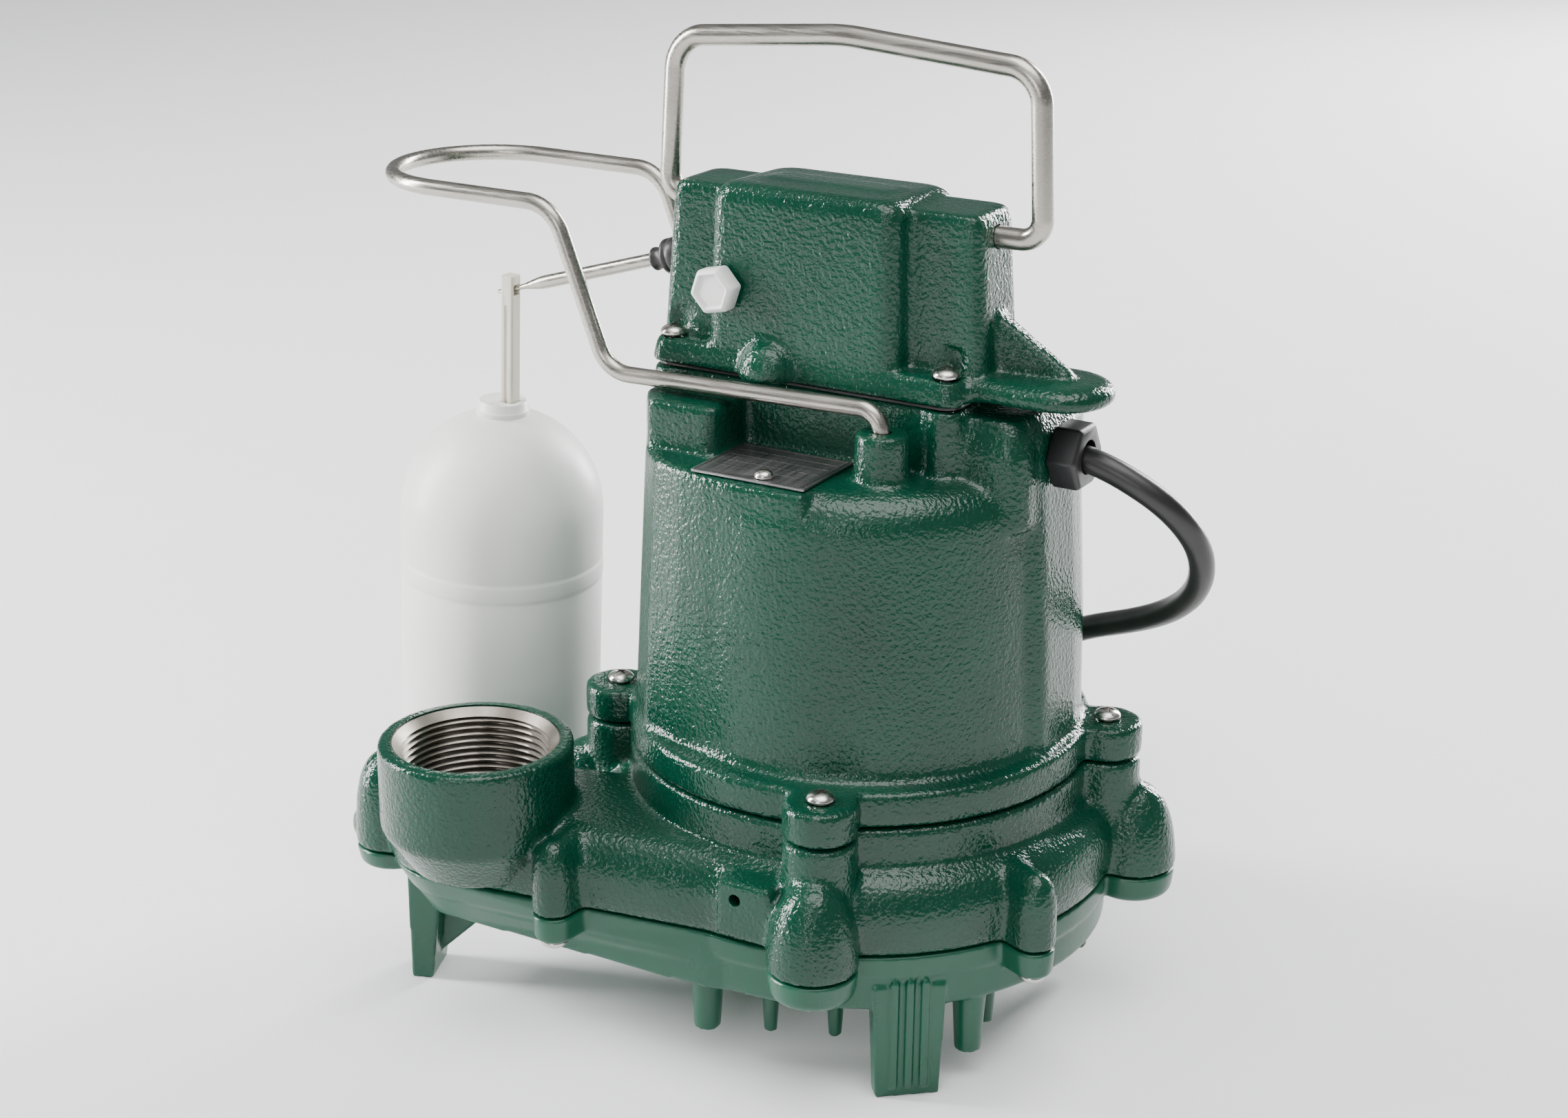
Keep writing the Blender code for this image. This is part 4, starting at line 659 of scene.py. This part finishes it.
def base_plate():
    """Moulded pan under the volute, with the inlet, the legs and the strainer pegs."""
    levels = ((PAN_Z, -4.2), (PAN_Z + 1.2, -3.0), (36.0, -2.6), (38.9, -2.6), (39.3, -1.9),
              (BASE_TOP_Z, -1.7))
    outlet_levels = ((PAN_Z, (-13.0, -1.5)), (36.0, (-8.0, -1.2)), (38.4, (-6.0, -1.2)),
                     (BASE_TOP_Z, (-1.8, -1.8)))
    body = fuse(stacked(volute_outline, levels), stacked(lambda pair: outlet_outline(*pair), outlet_levels))
    for angle in SCREW_ANGLES:
        big = [(10.6, FLANGE_Z), (11.9, FLANGE_Z + 0.9), (12.6, 39.6), (13.3, BASE_TOP_Z)]
        body = fuse(body, turned(big, 48, polar(BOSS_CIRCLE_R, angle)))
    for centre, inward in SMALL_BOSSES:
        body = fuse(body, stacked(lambda radius: boss_outline(centre, inward, radius),
                                  ((FLANGE_Z, 5.0), (38.4, 5.9), (BASE_TOP_Z, 6.4))))
    body = fuse(body, turned([(9.8, OUTLET_BOSS_SEAT_Z), (10.8, 41.0), (11.7, BASE_TOP_Z)], 48, OUTLET_BOSS))
    chamber = turned([(72.5, 31.6), (73.5, BASE_TOP_Z + 3.0)], 64)
    body = cut(body, fuse(chamber, stacked(outlet_outline, ((35.6, -15.5), (BASE_TOP_Z + 3.0, -8.0)))),
               turned([(25.0, 26.0), (22.0, 30.0), (22.0, 33.6)], 64))
    for angle in (-50.3, 90.0):
        body = fuse(body, leg(angle))
    body = fuse(body, outlet_leg())
    for angle, distance, radius in ((-101.0, 70.0, 4.6), (-86.0, 61.5, 2.6), (-67.5, 58.5, 2.6),
                                    (-34.0, 72.0, 4.6), (-22.0, 62.0, 2.6), (30.0, 70.0, 4.6),
                                    (118.0, 61.0, 2.6), (140.0, 70.0, 4.6), (-150.0, 70.0, 4.6)):
        body = fuse(body, turned([(radius - 0.6, 9.0), (radius + 0.6, 29.5)], 32, polar(distance, angle)))
    body = tapped(body, [centre for centre, _ in BASE_SCREWS], 33.0, 48.0)
    body = cast(body, 0.7, 5, 0.24)
    piece(body, "base_moulding", MOULDED_GREEN, "pump", "plastic_green", "base_plate")


# -------- motor housing

def neck_outline(inset):
    """Plan of the switch case's flange, which the gasket and the neck share."""
    corner = 5.0 - max(0.0, min(inset, 4.0))
    return rounded_rectangle((CASE_X, CASE_Y), CASE_HALF_X - inset, CASE_HALF_Y - inset, corner)


def nameplate_side():
    """The fuller, flatter side of the barrel, which carries the nameplate's ledge."""
    ledge = [(11.2, -28.0), (11.2, -58.9), (2.0, -59.8), (-12.0, -59.2), (-22.0, -57.6), (-31.0, -55.6),
             (-43.0, -51.0), (-52.0, -42.0)]
    ledge += arc((0.0, 0.0), 66.2, -146.0, -206.0, 24)
    ledge.append((-30.0, 20.0))
    levels = ((92.0, 1.045), (LEDGE_Z, 0.99))
    return stacked(lambda share: [(11.2 if x > 11.0 else x * share, y * share) for x, y in ledge], levels)


def gland_side():
    """Flat-faced column that carries the cord gland, and the shoulder under the case's end."""
    plan = [(36.0, -13.0), (56.0, -13.0), (59.0, -12.2), (61.5, -10.2), (62.2, -7.6), (62.2, 12.0),
            (60.8, 20.0), (58.0, 28.0), (50.0, 38.0), (30.0, 44.0)]
    levels = ((92.0, 1.07), (128.0, 1.05), (172.0, 1.0), (190.0, 1.0), (196.5, 0.94))
    column = stacked(lambda share: [(x * share, y * min(share, 1.0)) for x, y in plan], levels)
    shoulder = loft([[(x, y, z) for x, y in rounded_rectangle((middle, CASE_Y), half_x, half_y, 7.0)]
                     for z, middle, half_x, half_y in ((164.0, 42.0, 19.5, 19.0), (186.0, 42.0, 19.0, 18.0),
                                                       (192.0, 41.0, 18.4, 16.2), (196.0, 40.0, 17.5, 14.0))])
    return column, shoulder


def along_gland(made):
    return transformed(made, placing((0.0, GLAND_Y, GLAND_Z), 90.0, "Y"))


def motor_housing():
    """Cast barrel over the motor, with the flange at its foot and the switch case's neck on top."""
    bottom, crown = SEAM_Z + 0.15, 12.0
    profile = [(RING_R, bottom), (RING_R, SEAT_Z - 1.0), (RING_R - 1.0, SEAT_Z),
               (BARREL_FOOT_R + 1.6, SEAT_Z), (BARREL_FOOT_R, SEAT_Z + 2.4), (BARREL_TOP_R, LEDGE_Z - crown)]
    for angle in QUARTER_TURN:
        inward, down = crown * (1.0 - math.cos(angle)), crown * (1.0 - math.sin(angle))
        profile.append((BARREL_TOP_R - inward, LEDGE_Z - down))
    body = fuse(turned(profile, 120), nameplate_side())
    for centre in MOTOR_SCREWS:
        body = fuse(body, turned([(11.0, bottom), (11.0, SEAT_Z - 0.6), (10.4, SEAT_Z)], 48, centre))
        body = cut(body, cylinder(centre, 9.2, SEAT_Z, SEAT_Z + 30.0))
    body = fuse(body, prism(neck_outline(1.6), 164.0, NECK_Z), *gland_side())
    for side, y in ((-1.0, -32.0), (1.0, 25.6)):
        block = prism(rounded_rectangle((-42.5, y), 14.5, 10.0, 3.0), 168.0, 192.8)
        block = combine(block, [cylinder((0.0, 0.0), 65.4, 160.0, 200.0, 120)], "INTERSECT")
        socket = turned([(8.6, 166.0), (8.1, 184.0), (7.9, 192.3)], 48,
                        (GUARD_SOCKET_X, GUARD_Y + side * (GUARD_HALF - 0.6)))
        body = fuse(body, block, socket)
    for centre in CASE_SCREWS:
        body = fuse(body, cylinder(centre, 5.9, 166.0, NECK_Z))
    body = cut(body, turned([(54.3, 78.0), (54.3, 160.0), (48.0, 168.0)], 64))
    body = cut(body, prism(rounded_rectangle((-2.0, CASE_Y), 31.0, 13.0, 4.0), 175.0, 202.0))
    body = cut(body, box((-32.0, -9.0, 160.0), (-20.0, 6.0, 180.0)))
    body = fuse(body, cylinder((0.0, 0.0), 15.0, 157.0, 172.0))
    body = cut(body, cylinder((0.0, 0.0), 11.2, 150.0, 170.2))
    body = tapped(body, MOTOR_SCREWS, 78.0, 100.0)
    body = tapped(body, CASE_SCREWS, 187.0, 202.0)
    body = cast(body, 0.95, 16, 0.34)
    body = cut(body, along_gland(cylinder((0.0, 0.0), 6.95, 20.0, 90.0)))
    for side in (-1.0, 1.0):
        body = cut(body, cylinder((GUARD_SOCKET_X, GUARD_Y + side * GUARD_HALF), 2.85, 181.5, 200.0))
    body = cut(body, cylinder(RIVET, 1.7, 173.0, 180.0, 24))
    piece(smooth(body), "motor_housing_casting", CASTING, "pump", "cast_green", "motor_housing")


# -------- switch case

def case_block(centre_x, half_x, half_y, top_z, draft, rounding, fall, corner):
    """A tapered block with rounded corners and a rounded upper edge, whose roof falls to the back."""
    levels = [(CASE_Z, 0.0, 0.0), (top_z - rounding, draft, 1.0)]
    for angle in QUARTER_TURN:
        inward, down = rounding * (1.0 - math.cos(angle)), rounding * (1.0 - math.sin(angle))
        levels.append((top_z - down, draft + inward, 1.0))
    rings = []
    for z, inset, share in levels:
        inset_y = inset * half_y / half_x
        outline = rounded_rectangle((centre_x, CASE_Y), half_x - inset, half_y - inset_y, corner)
        rings.append([(x, y, z - share * fall * (y - CASE_Y + half_y) / (2.0 * half_y)) for x, y in outline])
    return loft(rings)


def drip_lobe():
    """Flat shield over the cord gland, with a tapering rib up to the case's end."""
    def outline(inset):
        round_end = arc((63.5, CASE_Y), 16.0 - inset, -90.0, 90.0, 40)
        return [(30.0, CASE_Y - 16.0 + inset)] + round_end + [(30.0, CASE_Y + 16.0 - inset)]

    lobe = stacked(outline, ((200.0, 3.0), (200.6, 1.4), (201.6, 0.3), (203.0, 0.0), (204.6, 0.4),
                             (205.8, 1.6), (206.9, 4.5)))
    ridge = [[(30.0, -7.0, 205.0), (70.0, -4.0, 203.6), (70.0, 4.0, 203.6), (30.0, 7.0, 205.0)],
             [(30.0, -4.6, 232.0), (66.0, -1.6, 210.0), (66.0, 1.6, 210.0), (30.0, 4.6, 232.0)]]
    return fuse(lobe, loft([[(x, y + CASE_Y, z) for x, y, z in ring] for ring in ridge]))


def switch_case():
    """Cast cover of the switch: flange, tall middle, narrower ends, drip shield and drain hood."""
    body = stacked(neck_outline, ((CASE_Z, -1.2), (CASE_SEAT_Z - 1.6, -0.1), (CASE_SEAT_Z, 0.9)))
    middle = case_block(CASE_X - 0.6, 32.0, CASE_HALF_Y, CASE_TOP_Z, 1.2, 6.0, 1.8, 5.5)
    ends = case_block(CASE_X + 1.2, 54.2, 13.0, 252.4, 3.6, 3.5, 0.0, 4.0)
    body = fuse(body, middle, ends, drip_lobe())
    hood = turned([(9.2, -8.0), (9.2, -1.0), (8.9, 1.6), (8.0, 3.8), (6.4, 5.6), (4.4, 6.8), (2.0, 7.4),
                   (0.0, 7.5)], 48)
    body = fuse(body, transformed(hood, placing((-20.0, CASE_FRONT_Y, 201.4), 90.0, "X")))
    body = cut(body, box((-40.0, -40.0, 180.0), (0.0, -10.0, CASE_Z)))
    slope = Matrix.Identity(4)
    slope[2][1] = -1.8 / (2.0 * CASE_HALF_Y)
    for half_x, half_y, height in ((24.5, 9.0, 0.1), (21.0, 6.0, 0.7)):
        plan = rounded_rectangle((CASE_X, CASE_Y), half_x, half_y, 3.0)
        panel = prism(plan, CASE_TOP_Z - 4.0, CASE_TOP_Z - 1.1 + height)
        body = fuse(body, transformed(panel, slope))
    room = prism(rounded_rectangle((CASE_X - 0.6, CASE_Y), 26.5, 16.3, 3.0), CASE_Z - 3.0, 249.6)
    end_room = prism(rounded_rectangle((CASE_X + 1.2, CASE_Y), 44.4, 8.4, 3.0), CASE_Z - 3.0, 247.8)
    body = cut(body, fuse(room, end_room))
    body = tapped(body, CASE_SCREWS, CASE_Z - 3.0, CASE_SEAT_Z + 1.0)
    for centre in CASE_SCREWS:
        body = cut(body, cylinder(centre, 5.8, CASE_SEAT_Z - 0.2, CASE_SEAT_Z + 8.0))
    body = cast(body, 0.8, 22, 0.34)
    bores = transformed(cylinder((0.0, 0.0), 3.475, -80.0, 80.0),
                        placing((HANDLE_X, CASE_Y, HANDLE_Z), 90.0, "Y"))
    seat = turned([(0.0, -6.1), (3.0, -5.3), (5.3, -3.0), (6.1, 0.0), (5.3, 3.0), (3.0, 5.3), (0.0, 6.1)], 40)
    x, y, z = ARM_PIVOT
    arm_slot = box((x - 1.0, y - 2.7, z - 6.6), (x + 20.0, y + 2.7, z + 4.4))
    plug_bore = transformed(cylinder((0.0, 0.0), 4.3, -4.0, 16.0),
                            placing((CASE_PLUG_X, CASE_FRONT_Y, CASE_PLUG_Z), -90.0, "X"))
    body = cut(body, bores, transformed(seat, Matrix.Translation(ARM_PIVOT)), arm_slot, plug_bore)
    piece(smooth(body), "switch_case_casting", CASTING, "pump", "cast_green", "switch_case")


def case_plug():
    """White moulded hexagonal plug with a dished end."""
    rings = ((0.8, 0.96), (1.3, 1.0), (5.4, 1.0), (6.2, 0.96), (6.8, 0.88), (7.0, 0.80), (6.7, 0.72),
             (6.2, 0.66))
    head = loft([[(x * share, y * share, z) for x, y in hexagon(5.9, 1.3, 12.0)] for z, share in rings])
    head = fuse(head, cylinder((0.0, 0.0), 4.0, -9.0, 2.0))
    head = transformed(head, placing((CASE_PLUG_X, CASE_FRONT_Y, CASE_PLUG_Z), 90.0, "X"))
    piece(smooth(head, 42.0), "case_plug_hexagon", WHITE_PLASTIC, "pump", "white_plastic", "case_plug")


# -------- nameplate

def nameplate():
    """Dark anodised plate with bright blank rules, held by a drive rivet."""
    low = LEDGE_Z + 0.3
    (cx, cy), (hx, hy) = (-8.7, -40.7), (18.6, 14.9)
    plate = prism(rounded_rectangle((cx, cy), hx, hy, 0.8), low, low + 0.7)
    plate = cut(plate, cylinder(RIVET, 1.6, low - 1.0, low + 2.0, 32))
    piece(rounded(plate, 0.12, 2), "nameplate_blank", PLATE_DARK, "pump", "plate", "nameplate")
    edge_x, edge_y = hx - 1.0, hy - 1.0
    areas = []
    for row, reach in ((edge_y, 1.0), (-edge_y, 1.0), (9.2, 0.92), (4.2, 0.92), (-1.2, 0.92), (-6.2, 0.92)):
        areas.append((-edge_x * reach, row - 0.16, edge_x * reach, row + 0.16))
    areas += [(column - 0.16, -edge_y, column + 0.16, edge_y) for column in (-edge_x, edge_x)]
    for column, bottom, top in ((-6.0, 4.2, 9.2), (5.0, -1.2, 4.2), (9.0, -6.2, -1.2)):
        areas.append((column - 0.14, bottom, column + 0.14, top))
    rules = [box((cx + x0, cy + y0, low + 0.6), (cx + x1, cy + y1, low + 0.76)) for x0, y0, x1, y1 in areas]
    grid = fuse(rules[0], *rules[1:])
    piece(grid, "nameplate_rules", STEEL_HEAD, "pump", "plate", "nameplate")
    seat = low + 1.0
    rivet = turned([(1.2, LEDGE_Z - 4.5), (1.2, seat), (2.85, seat), (2.9, seat + 0.3), (2.7, seat + 0.9),
                    (2.2, seat + 1.5), (1.4, seat + 1.9), (0.6, seat + 2.05), (0.0, seat + 2.08)], 40, RIVET)
    piece(smooth(rivet), "nameplate_drive_rivet", STEEL_HEAD, "pump", "steel", "nameplate_rivet")


# -------- handle, guard, arm and float

def carry_handle():
    low, high, top = HANDLE_Z, 292.4, 297.1
    half, half_top = 61.5, 58.9
    corners = [(-42.6, low, 0.0), (-half, low, 6.4), (-half_top, high, 11.0), (-3.0, top, 60.0),
               (half_top, high, 11.0), (half, low, 6.4), (42.6, low, 0.0)]
    path = rounded_path([((HANDLE_X + x, CASE_Y, z), bend) for x, z, bend in corners], 16)
    made = bar("carry_handle_bar", path, 3.175)
    piece(made, "carry_handle_bar", STEEL_WIRE, "handle", "steel", "carry_handle")


def float_guard():
    front = GUARD_Y - GUARD_HALF
    low, high = 196.2, 244.6
    corners = [((GUARD_SOCKET_X, front, 182.0), 0.0), ((GUARD_SOCKET_X, front, low + 2.4), 7.0),
               ((-69.6, front, low), 11.0), ((-88.6, front, high), 13.0)]
    tip = arc((-132.6, GUARD_Y), GUARD_HALF, 270.0, 90.0, 48)
    first = rounded_path(corners + [((*tip[0], high), 0.0)], 16)
    last = [Vector((p.x, 2.0 * GUARD_Y - p.y, p.z)) for p in reversed(first)]
    path = first + [Vector((*point, high)) for point in tip[1:-1]] + last
    piece(bar("float_guard_wire", path, 2.5), "float_guard_wire", STEEL_WIRE, "pump", "steel", "float_guard")


OUTWARD = (FLOAT_PIN - ARM_PIVOT).normalized()


def switch_arm():
    """Arm out through the boot to the float's rod, pressed flat and a little wider at its tip."""
    sideways = Vector((0.0, 1.0, 0.0))
    lift = sideways.cross(OUTWARD)
    sections = [(ARM_PIVOT + Vector((15.6, 0.0, 2.0)), 2.1, 2.1), (ARM_PIVOT - OUTWARD * 5.6, 2.1, 2.1)]
    sections += [(FLOAT_PIN + OUTWARD * reach, across, tall) for reach, across, tall in (
        (-15.0, 2.1, 2.1), (-12.5, 2.1, 2.05), (-9.0, 1.9, 1.5), (-6.0, 1.5, 0.9), (0.0, 1.2, 0.75),
        (4.4, 1.1, 0.7), (5.0, 0.7, 0.5))]
    unit = circle((0.0, 0.0), 1.0, 32)
    arm = loft([[point + sideways * across * x + lift * tall * y for x, y in unit]
                for point, across, tall in sections])
    piece(smooth(arm), "switch_arm_rod", STEEL_WIRE, "arm", "steel", "switch_arm")


def arm_boot():
    """Rubber boot turned about the arm, ribbed where it bends, with a lip that grips the arm."""
    profile = [(2.4, -4.6), (3.4, -4.4), (4.4, -3.4), (5.1, -2.2), (5.5, -0.8), (5.6, 0.4), (5.5, 1.6),
               (5.1, 2.2), (5.5, 2.8), (5.4, 3.8), (4.7, 4.3), (4.2, 4.5), (3.6, 4.9), (3.4, 5.5),
               (3.3, 7.6), (3.6, 8.0), (3.6, 8.6), (3.2, 9.0), (2.4, 9.0)]
    turn = Matrix.Translation(ARM_PIVOT) @ OUTWARD.to_track_quat("Z", "Y").to_matrix().to_4x4()
    boot = transformed(turned_ring(lambda share: profile, 48), turn)
    piece(smooth(boot, 60.0), "arm_boot_ribbed", RUBBER, "arm", "rubber", "arm_boot")


LEAN = (Matrix.Translation(FLOAT_PIN) @ Matrix.Rotation(math.radians(FLOAT_LEAN), 4, "Y")
        @ Matrix.Translation(-FLOAT_PIN))


def float_rod():
    """Flat moulded rod with an eye for the arm's tip and a groove along its face."""
    middle = FLOAT_PIN.x - 0.2
    rod = prism(rounded_rectangle((middle, CASE_Y), 2.3, 2.5, 0.7), 155.5, FLOAT_PIN.z + 4.6)
    eye = box((middle - 6.0, CASE_Y - 1.5, FLOAT_PIN.z - 1.7),
              (middle + 6.0, CASE_Y + 1.5, FLOAT_PIN.z + 1.7))
    groove = box((middle - 0.6, CASE_Y - 4.0, 150.0), (middle + 0.6, CASE_Y - 2.1, FLOAT_PIN.z - 5.0))
    rod = cut(rod, eye, groove)
    rod = rounded(transformed(rod, LEAN), 0.18, 2)
    piece(rod, "float_rod_flat", ROD_PLASTIC, "float", "rod_plastic", "float_rod")


def pump_float():
    """Blow-moulded float with a round crown, a joint band and a short collar for the rod."""
    radius, top, low, corner, dome = 33.0, 167.5, 52.0, 9.0, 34.0
    profile = [(0.0, low + 1.6), (10.0, low + 1.3), (18.0, low + 0.3), (radius - corner, low)]
    profile += arc((radius - corner, low + corner), corner, -80.0, 0.0, 8)
    profile += [(radius - 0.05, 111.2), (radius - 0.15, 111.7), (radius + 0.1, 112.3), (radius + 0.2, 113.2),
                (radius + 0.2, 116.9), (radius + 0.1, 117.7), (radius - 0.15, 118.2), (radius - 0.05, 118.8)]
    for angle in range(0, 76, 5):
        profile.append((radius * math.cos(math.radians(angle)),
                        top - dome + dome * math.sin(math.radians(angle)) * 0.985))
    profile += [(8.6, top - 0.15), (8.1, top + 0.3), (7.9, top + 2.2), (7.5, top + 2.8), (0.0, top + 2.8)]
    body = turned(profile, 96, (FLOAT_PIN.x - 3.1, CASE_Y))
    pocket = prism(rounded_rectangle((FLOAT_PIN.x - 0.2, CASE_Y), 2.6, 2.8, 1.0), 155.2, top + 9.0)
    body = transformed(cut(body, pocket), LEAN)
    piece(smooth(body), "float_shell", FLOAT_PLASTIC, "float", "float_plastic", "float")


# -------- gland and plug

def cord_gland():
    """Gland body in the housing's face, and the ribbed hexagonal nut that closes it on the cord."""
    body = along_gland(turned_ring(lambda share: ((4.2, 42.0), (6.6, 42.0), (6.6, 68.5), (4.2, 68.5)), 48))
    piece(smooth(body, 40.0), "cord_gland_tube", BLACK_PLASTIC, "pump", "black_plastic", "cord_gland_body")
    start = GLAND_FACE_X + 0.3
    rings = ((start, 0.93), (start + 0.8, 1.0), (GLAND_END_X - 1.4, 1.0), (GLAND_END_X - 0.5, 0.96),
             (GLAND_END_X, 0.88))
    nut = loft([[(x * share, y * share, z) for x, y in hexagon(8.8, 1.4, 30.0)] for z, share in rings])
    bore = turned([(6.9, start - 2.0), (6.9, 68.8), (4.9, 68.8), (5.3, GLAND_END_X + 2.0)], 48)
    nut = along_gland(cut(nut, bore))
    piece(smooth(nut, 42.0), "cord_gland_hexagon", BLACK_PLASTIC, "pump", "black_plastic", "cord_gland_nut")


def plug_ring(x, half_y, half_z, corner):
    outline = rounded_rectangle((PLUG_Y, PLUG_Z), half_y, half_z, corner, 6)
    return [(x, y, z) for y, z in outline]


def plug():
    """Moulded grounded plug with a ribbed strain relief, flat blades with their holes, and the pin."""
    tail, face, blade_z = PLUG_TAIL_X, PLUG_FACE_X, PLUG_Z + 4.0
    rings = [plug_ring(tail, 4.4, 4.4, 3.6)]
    for number in range(5):
        x, size = tail - 1.2 - number * 2.7, 4.7 + number * 0.4
        for back, change, corner in ((0.0, 0.0, 3.9), (1.5, 0.1, 3.9), (1.7, -0.5, 3.4), (2.5, -0.4, 3.4)):
            rings.append(plug_ring(x - back, size + change, size + change, corner))
    for x, half_y, half_z, corner in ((tail - 15.2, 6.8, 6.6, 4.0), (tail - 17.0, 9.0, 8.0, 4.0),
                                      (tail - 18.6, 11.4, 10.0, 4.0), (tail - 21.0, 12.6, 11.2, 4.0),
                                      (tail - 27.0, 12.9, 11.6, 4.0), (face + 2.4, 13.3, 11.9, 4.0),
                                      (face + 0.8, 13.0, 11.6, 3.8), (face, 12.2, 10.8, 3.2)):
        rings.append(plug_ring(x, half_y, half_z, corner))
    body = loft(rings)
    for name, side, half_z in (("line", -6.35, 3.2), ("neutral", 6.35, 4.0)):
        y = PLUG_Y + side
        low, high = (face - 17.5, y - 0.75, blade_z - half_z), (face + 8.0, y + 0.75, blade_z + half_z)
        body = cut(body, box([value - 0.3 for value in low], [value + 0.3 for value in high]))
        blade = box(low, high)
        hole = transformed(cylinder((0.0, 0.0), 1.6, -4.0, 4.0, 32),
                           placing((face - 13.6, y, blade_z), 90.0, "X"))
        blade = rounded(cut(blade, hole), 0.28, 2)
        piece(blade, f"plug_flat_blade_{name}", BRASS, "pump", "brass", f"plug_blade_{name}")
    along = placing((face, PLUG_Y, PLUG_Z - 7.0), -90.0, "Y")
    body = cut(body, transformed(cylinder((0.0, 0.0), 2.7, -8.3, 4.0), along))
    piece(smooth(body, 38.0), "plug_moulding", RUBBER, "pump", "black_plastic", "plug_body")
    pin = turned([(2.4, -8.0), (2.4, 16.6), (2.2, 18.0), (1.6, 19.4), (0.8, 20.2), (0.0, 20.4)], 40)
    piece(smooth(transformed(pin, along), 60.0), "plug_round_pin", BRASS, "pump", "brass", "plug_ground_pin")


# -------- screws

def screw(name, centre, seat_z, tip_z, sign=1.0):
    """Round-head screw with a cross recess; a base screw has its head below."""
    seat = seat_z + sign * 0.3
    profile = [(0.0, tip_z), (1.5, tip_z), (2.0, tip_z + sign * 0.6), (2.0, seat), (4.0, seat),
               (4.2, seat + sign * 0.35)]
    for angle in QUARTER_TURN[:-1]:
        profile.append((4.2 * math.cos(angle), seat + sign * (0.35 + 2.35 * math.sin(angle))))
    profile.append((0.0, seat + sign * 2.7))
    head = turned(profile, 40, centre)
    cx, cy = centre
    low, high = sorted((seat + sign * 1.3, seat + sign * 4.0))
    cross = fuse(box((cx - 1.9, cy - 0.42, low), (cx + 1.9, cy + 0.42, high)),
                 box((cx - 0.42, cy - 1.9, low), (cx + 0.42, cy + 1.9, high)))
    twist = Matrix.Translation((cx, cy, 0.0)) @ Matrix.Rotation(cx * 0.7 + cy, 4, "Z")
    twist @= Matrix.Translation((-cx, -cy, 0.0))
    head = cut(head, transformed(cross, twist))
    piece(smooth(head, 45.0), name + "_crossed", STEEL_HEAD, "pump", "steel", name)


def screws():
    for number, centre in enumerate(MOTOR_SCREWS, 1):
        screw(f"motor_housing_screw_{number}", centre, SEAT_Z, 72.0)
    for number, centre in enumerate(CASE_SCREWS, 1):
        screw(f"switch_case_screw_{number}", centre, CASE_SEAT_Z, 188.0)
    for number, (centre, seat_z) in enumerate(BASE_SCREWS, 1):
        screw(f"base_screw_{number}", centre, seat_z, 57.0, -1.0)


# -------- unseen working parts

def inner_parts():
    """Gives the CAD nodes that keep their shape their own finishes."""
    finishes = {
        "motor_shaft": STEEL_WIRE, "rotor_core": LAMINATIONS, "stator_core": LAMINATIONS,
        "stator_winding_top": COPPER, "stator_winding_bottom": COPPER, "upper_bearing": BRONZE,
        "lower_bearing": BRONZE, "shaft_seal_seat": CERAMIC, "shaft_seal_head": BLACK_PLASTIC,
        "housing_seal_ring": RUBBER, "impeller": BLACK_PLASTIC, "impeller_nut": BRASS,
        "snap_switch": BLACK_PLASTIC, "switch_plunger": WHITE_PLASTIC, "overload_protector": BLACK_PLASTIC,
        "switch_case_gasket": RUBBER,
    }
    for name, finish in finishes.items():
        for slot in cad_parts[name].material_slots:
            slot.material = finish


# -------- floor and lights

def floor():
    """Wide pale floor, in metres."""
    half = 25.0
    made, tree, shader = surface("studio_paper", (0.86, 0.86, 0.86), 0.75)
    grain = noise(tree, 30.0, Detail=3.0)
    varied(tree, shader, "Base Color", grain, ((0.3, 0.855), (0.7, 0.865)))
    mesh = bpy.data.meshes.new("studio_floor")
    corners = [(-half, -half, 0.0), (half, -half, 0.0), (half, half, 0.0), (-half, half, 0.0)]
    mesh.from_pydata(corners, [], [(0, 1, 2, 3)])
    mesh.materials.append(made)
    placed("studio_floor", mesh)


def softbox(name, azimuth, height, distance, size, power):
    """Area light at an azimuth in degrees from the viewing side, to the right when positive."""
    angle = math.radians(-60.3 + azimuth)
    target = Vector((0.0, 0.0, 0.13))
    light = bpy.data.lights.new(name, "AREA")
    light.shape = "RECTANGLE"
    light.size, light.size_y = size
    light.energy = power
    made = placed(name, light)
    made.location = (distance * math.cos(angle), distance * math.sin(angle), height)
    made.rotation_euler = (target - made.location).to_track_quat("-Z", "Y").to_euler()


def lights():
    softbox("left_strip", -98.0, 0.6, 1.6, (0.32, 1.5), 75.0)
    softbox("right_rim", 140.0, 0.8, 2.4, (0.6, 1.8), 130.0)
    softbox("overhead", 20.0, 2.4, 0.5, (1.8, 1.8), 48.0)
    softbox("front_fill", -20.0, 1.0, 2.6, (1.0, 0.8), 12.0)
    sky = bpy.data.lights.new("diffused_top", "SUN")
    sky.energy = 1.3
    sky.angle = math.radians(80.0)
    placed("diffused_top", sky).rotation_euler = (math.radians(18.0), math.radians(8.0), 0.0)
    world = bpy.data.worlds.new("studio")
    world.use_nodes = True
    background = world.node_tree.nodes["Background"]
    background.inputs["Color"].default_value = (0.95, 0.97, 1.0, 1.0)
    background.inputs["Strength"].default_value = 0.28
    bpy.context.scene.world = world


# -------- finish


for make in (pump_housing, discharge_thread, base_plate, motor_housing, switch_case, case_plug, nameplate,
             carry_handle, float_guard, switch_arm, arm_boot, float_rod, pump_float, cord_gland, plug, screws,
             inner_parts, floor, lights):
    make()
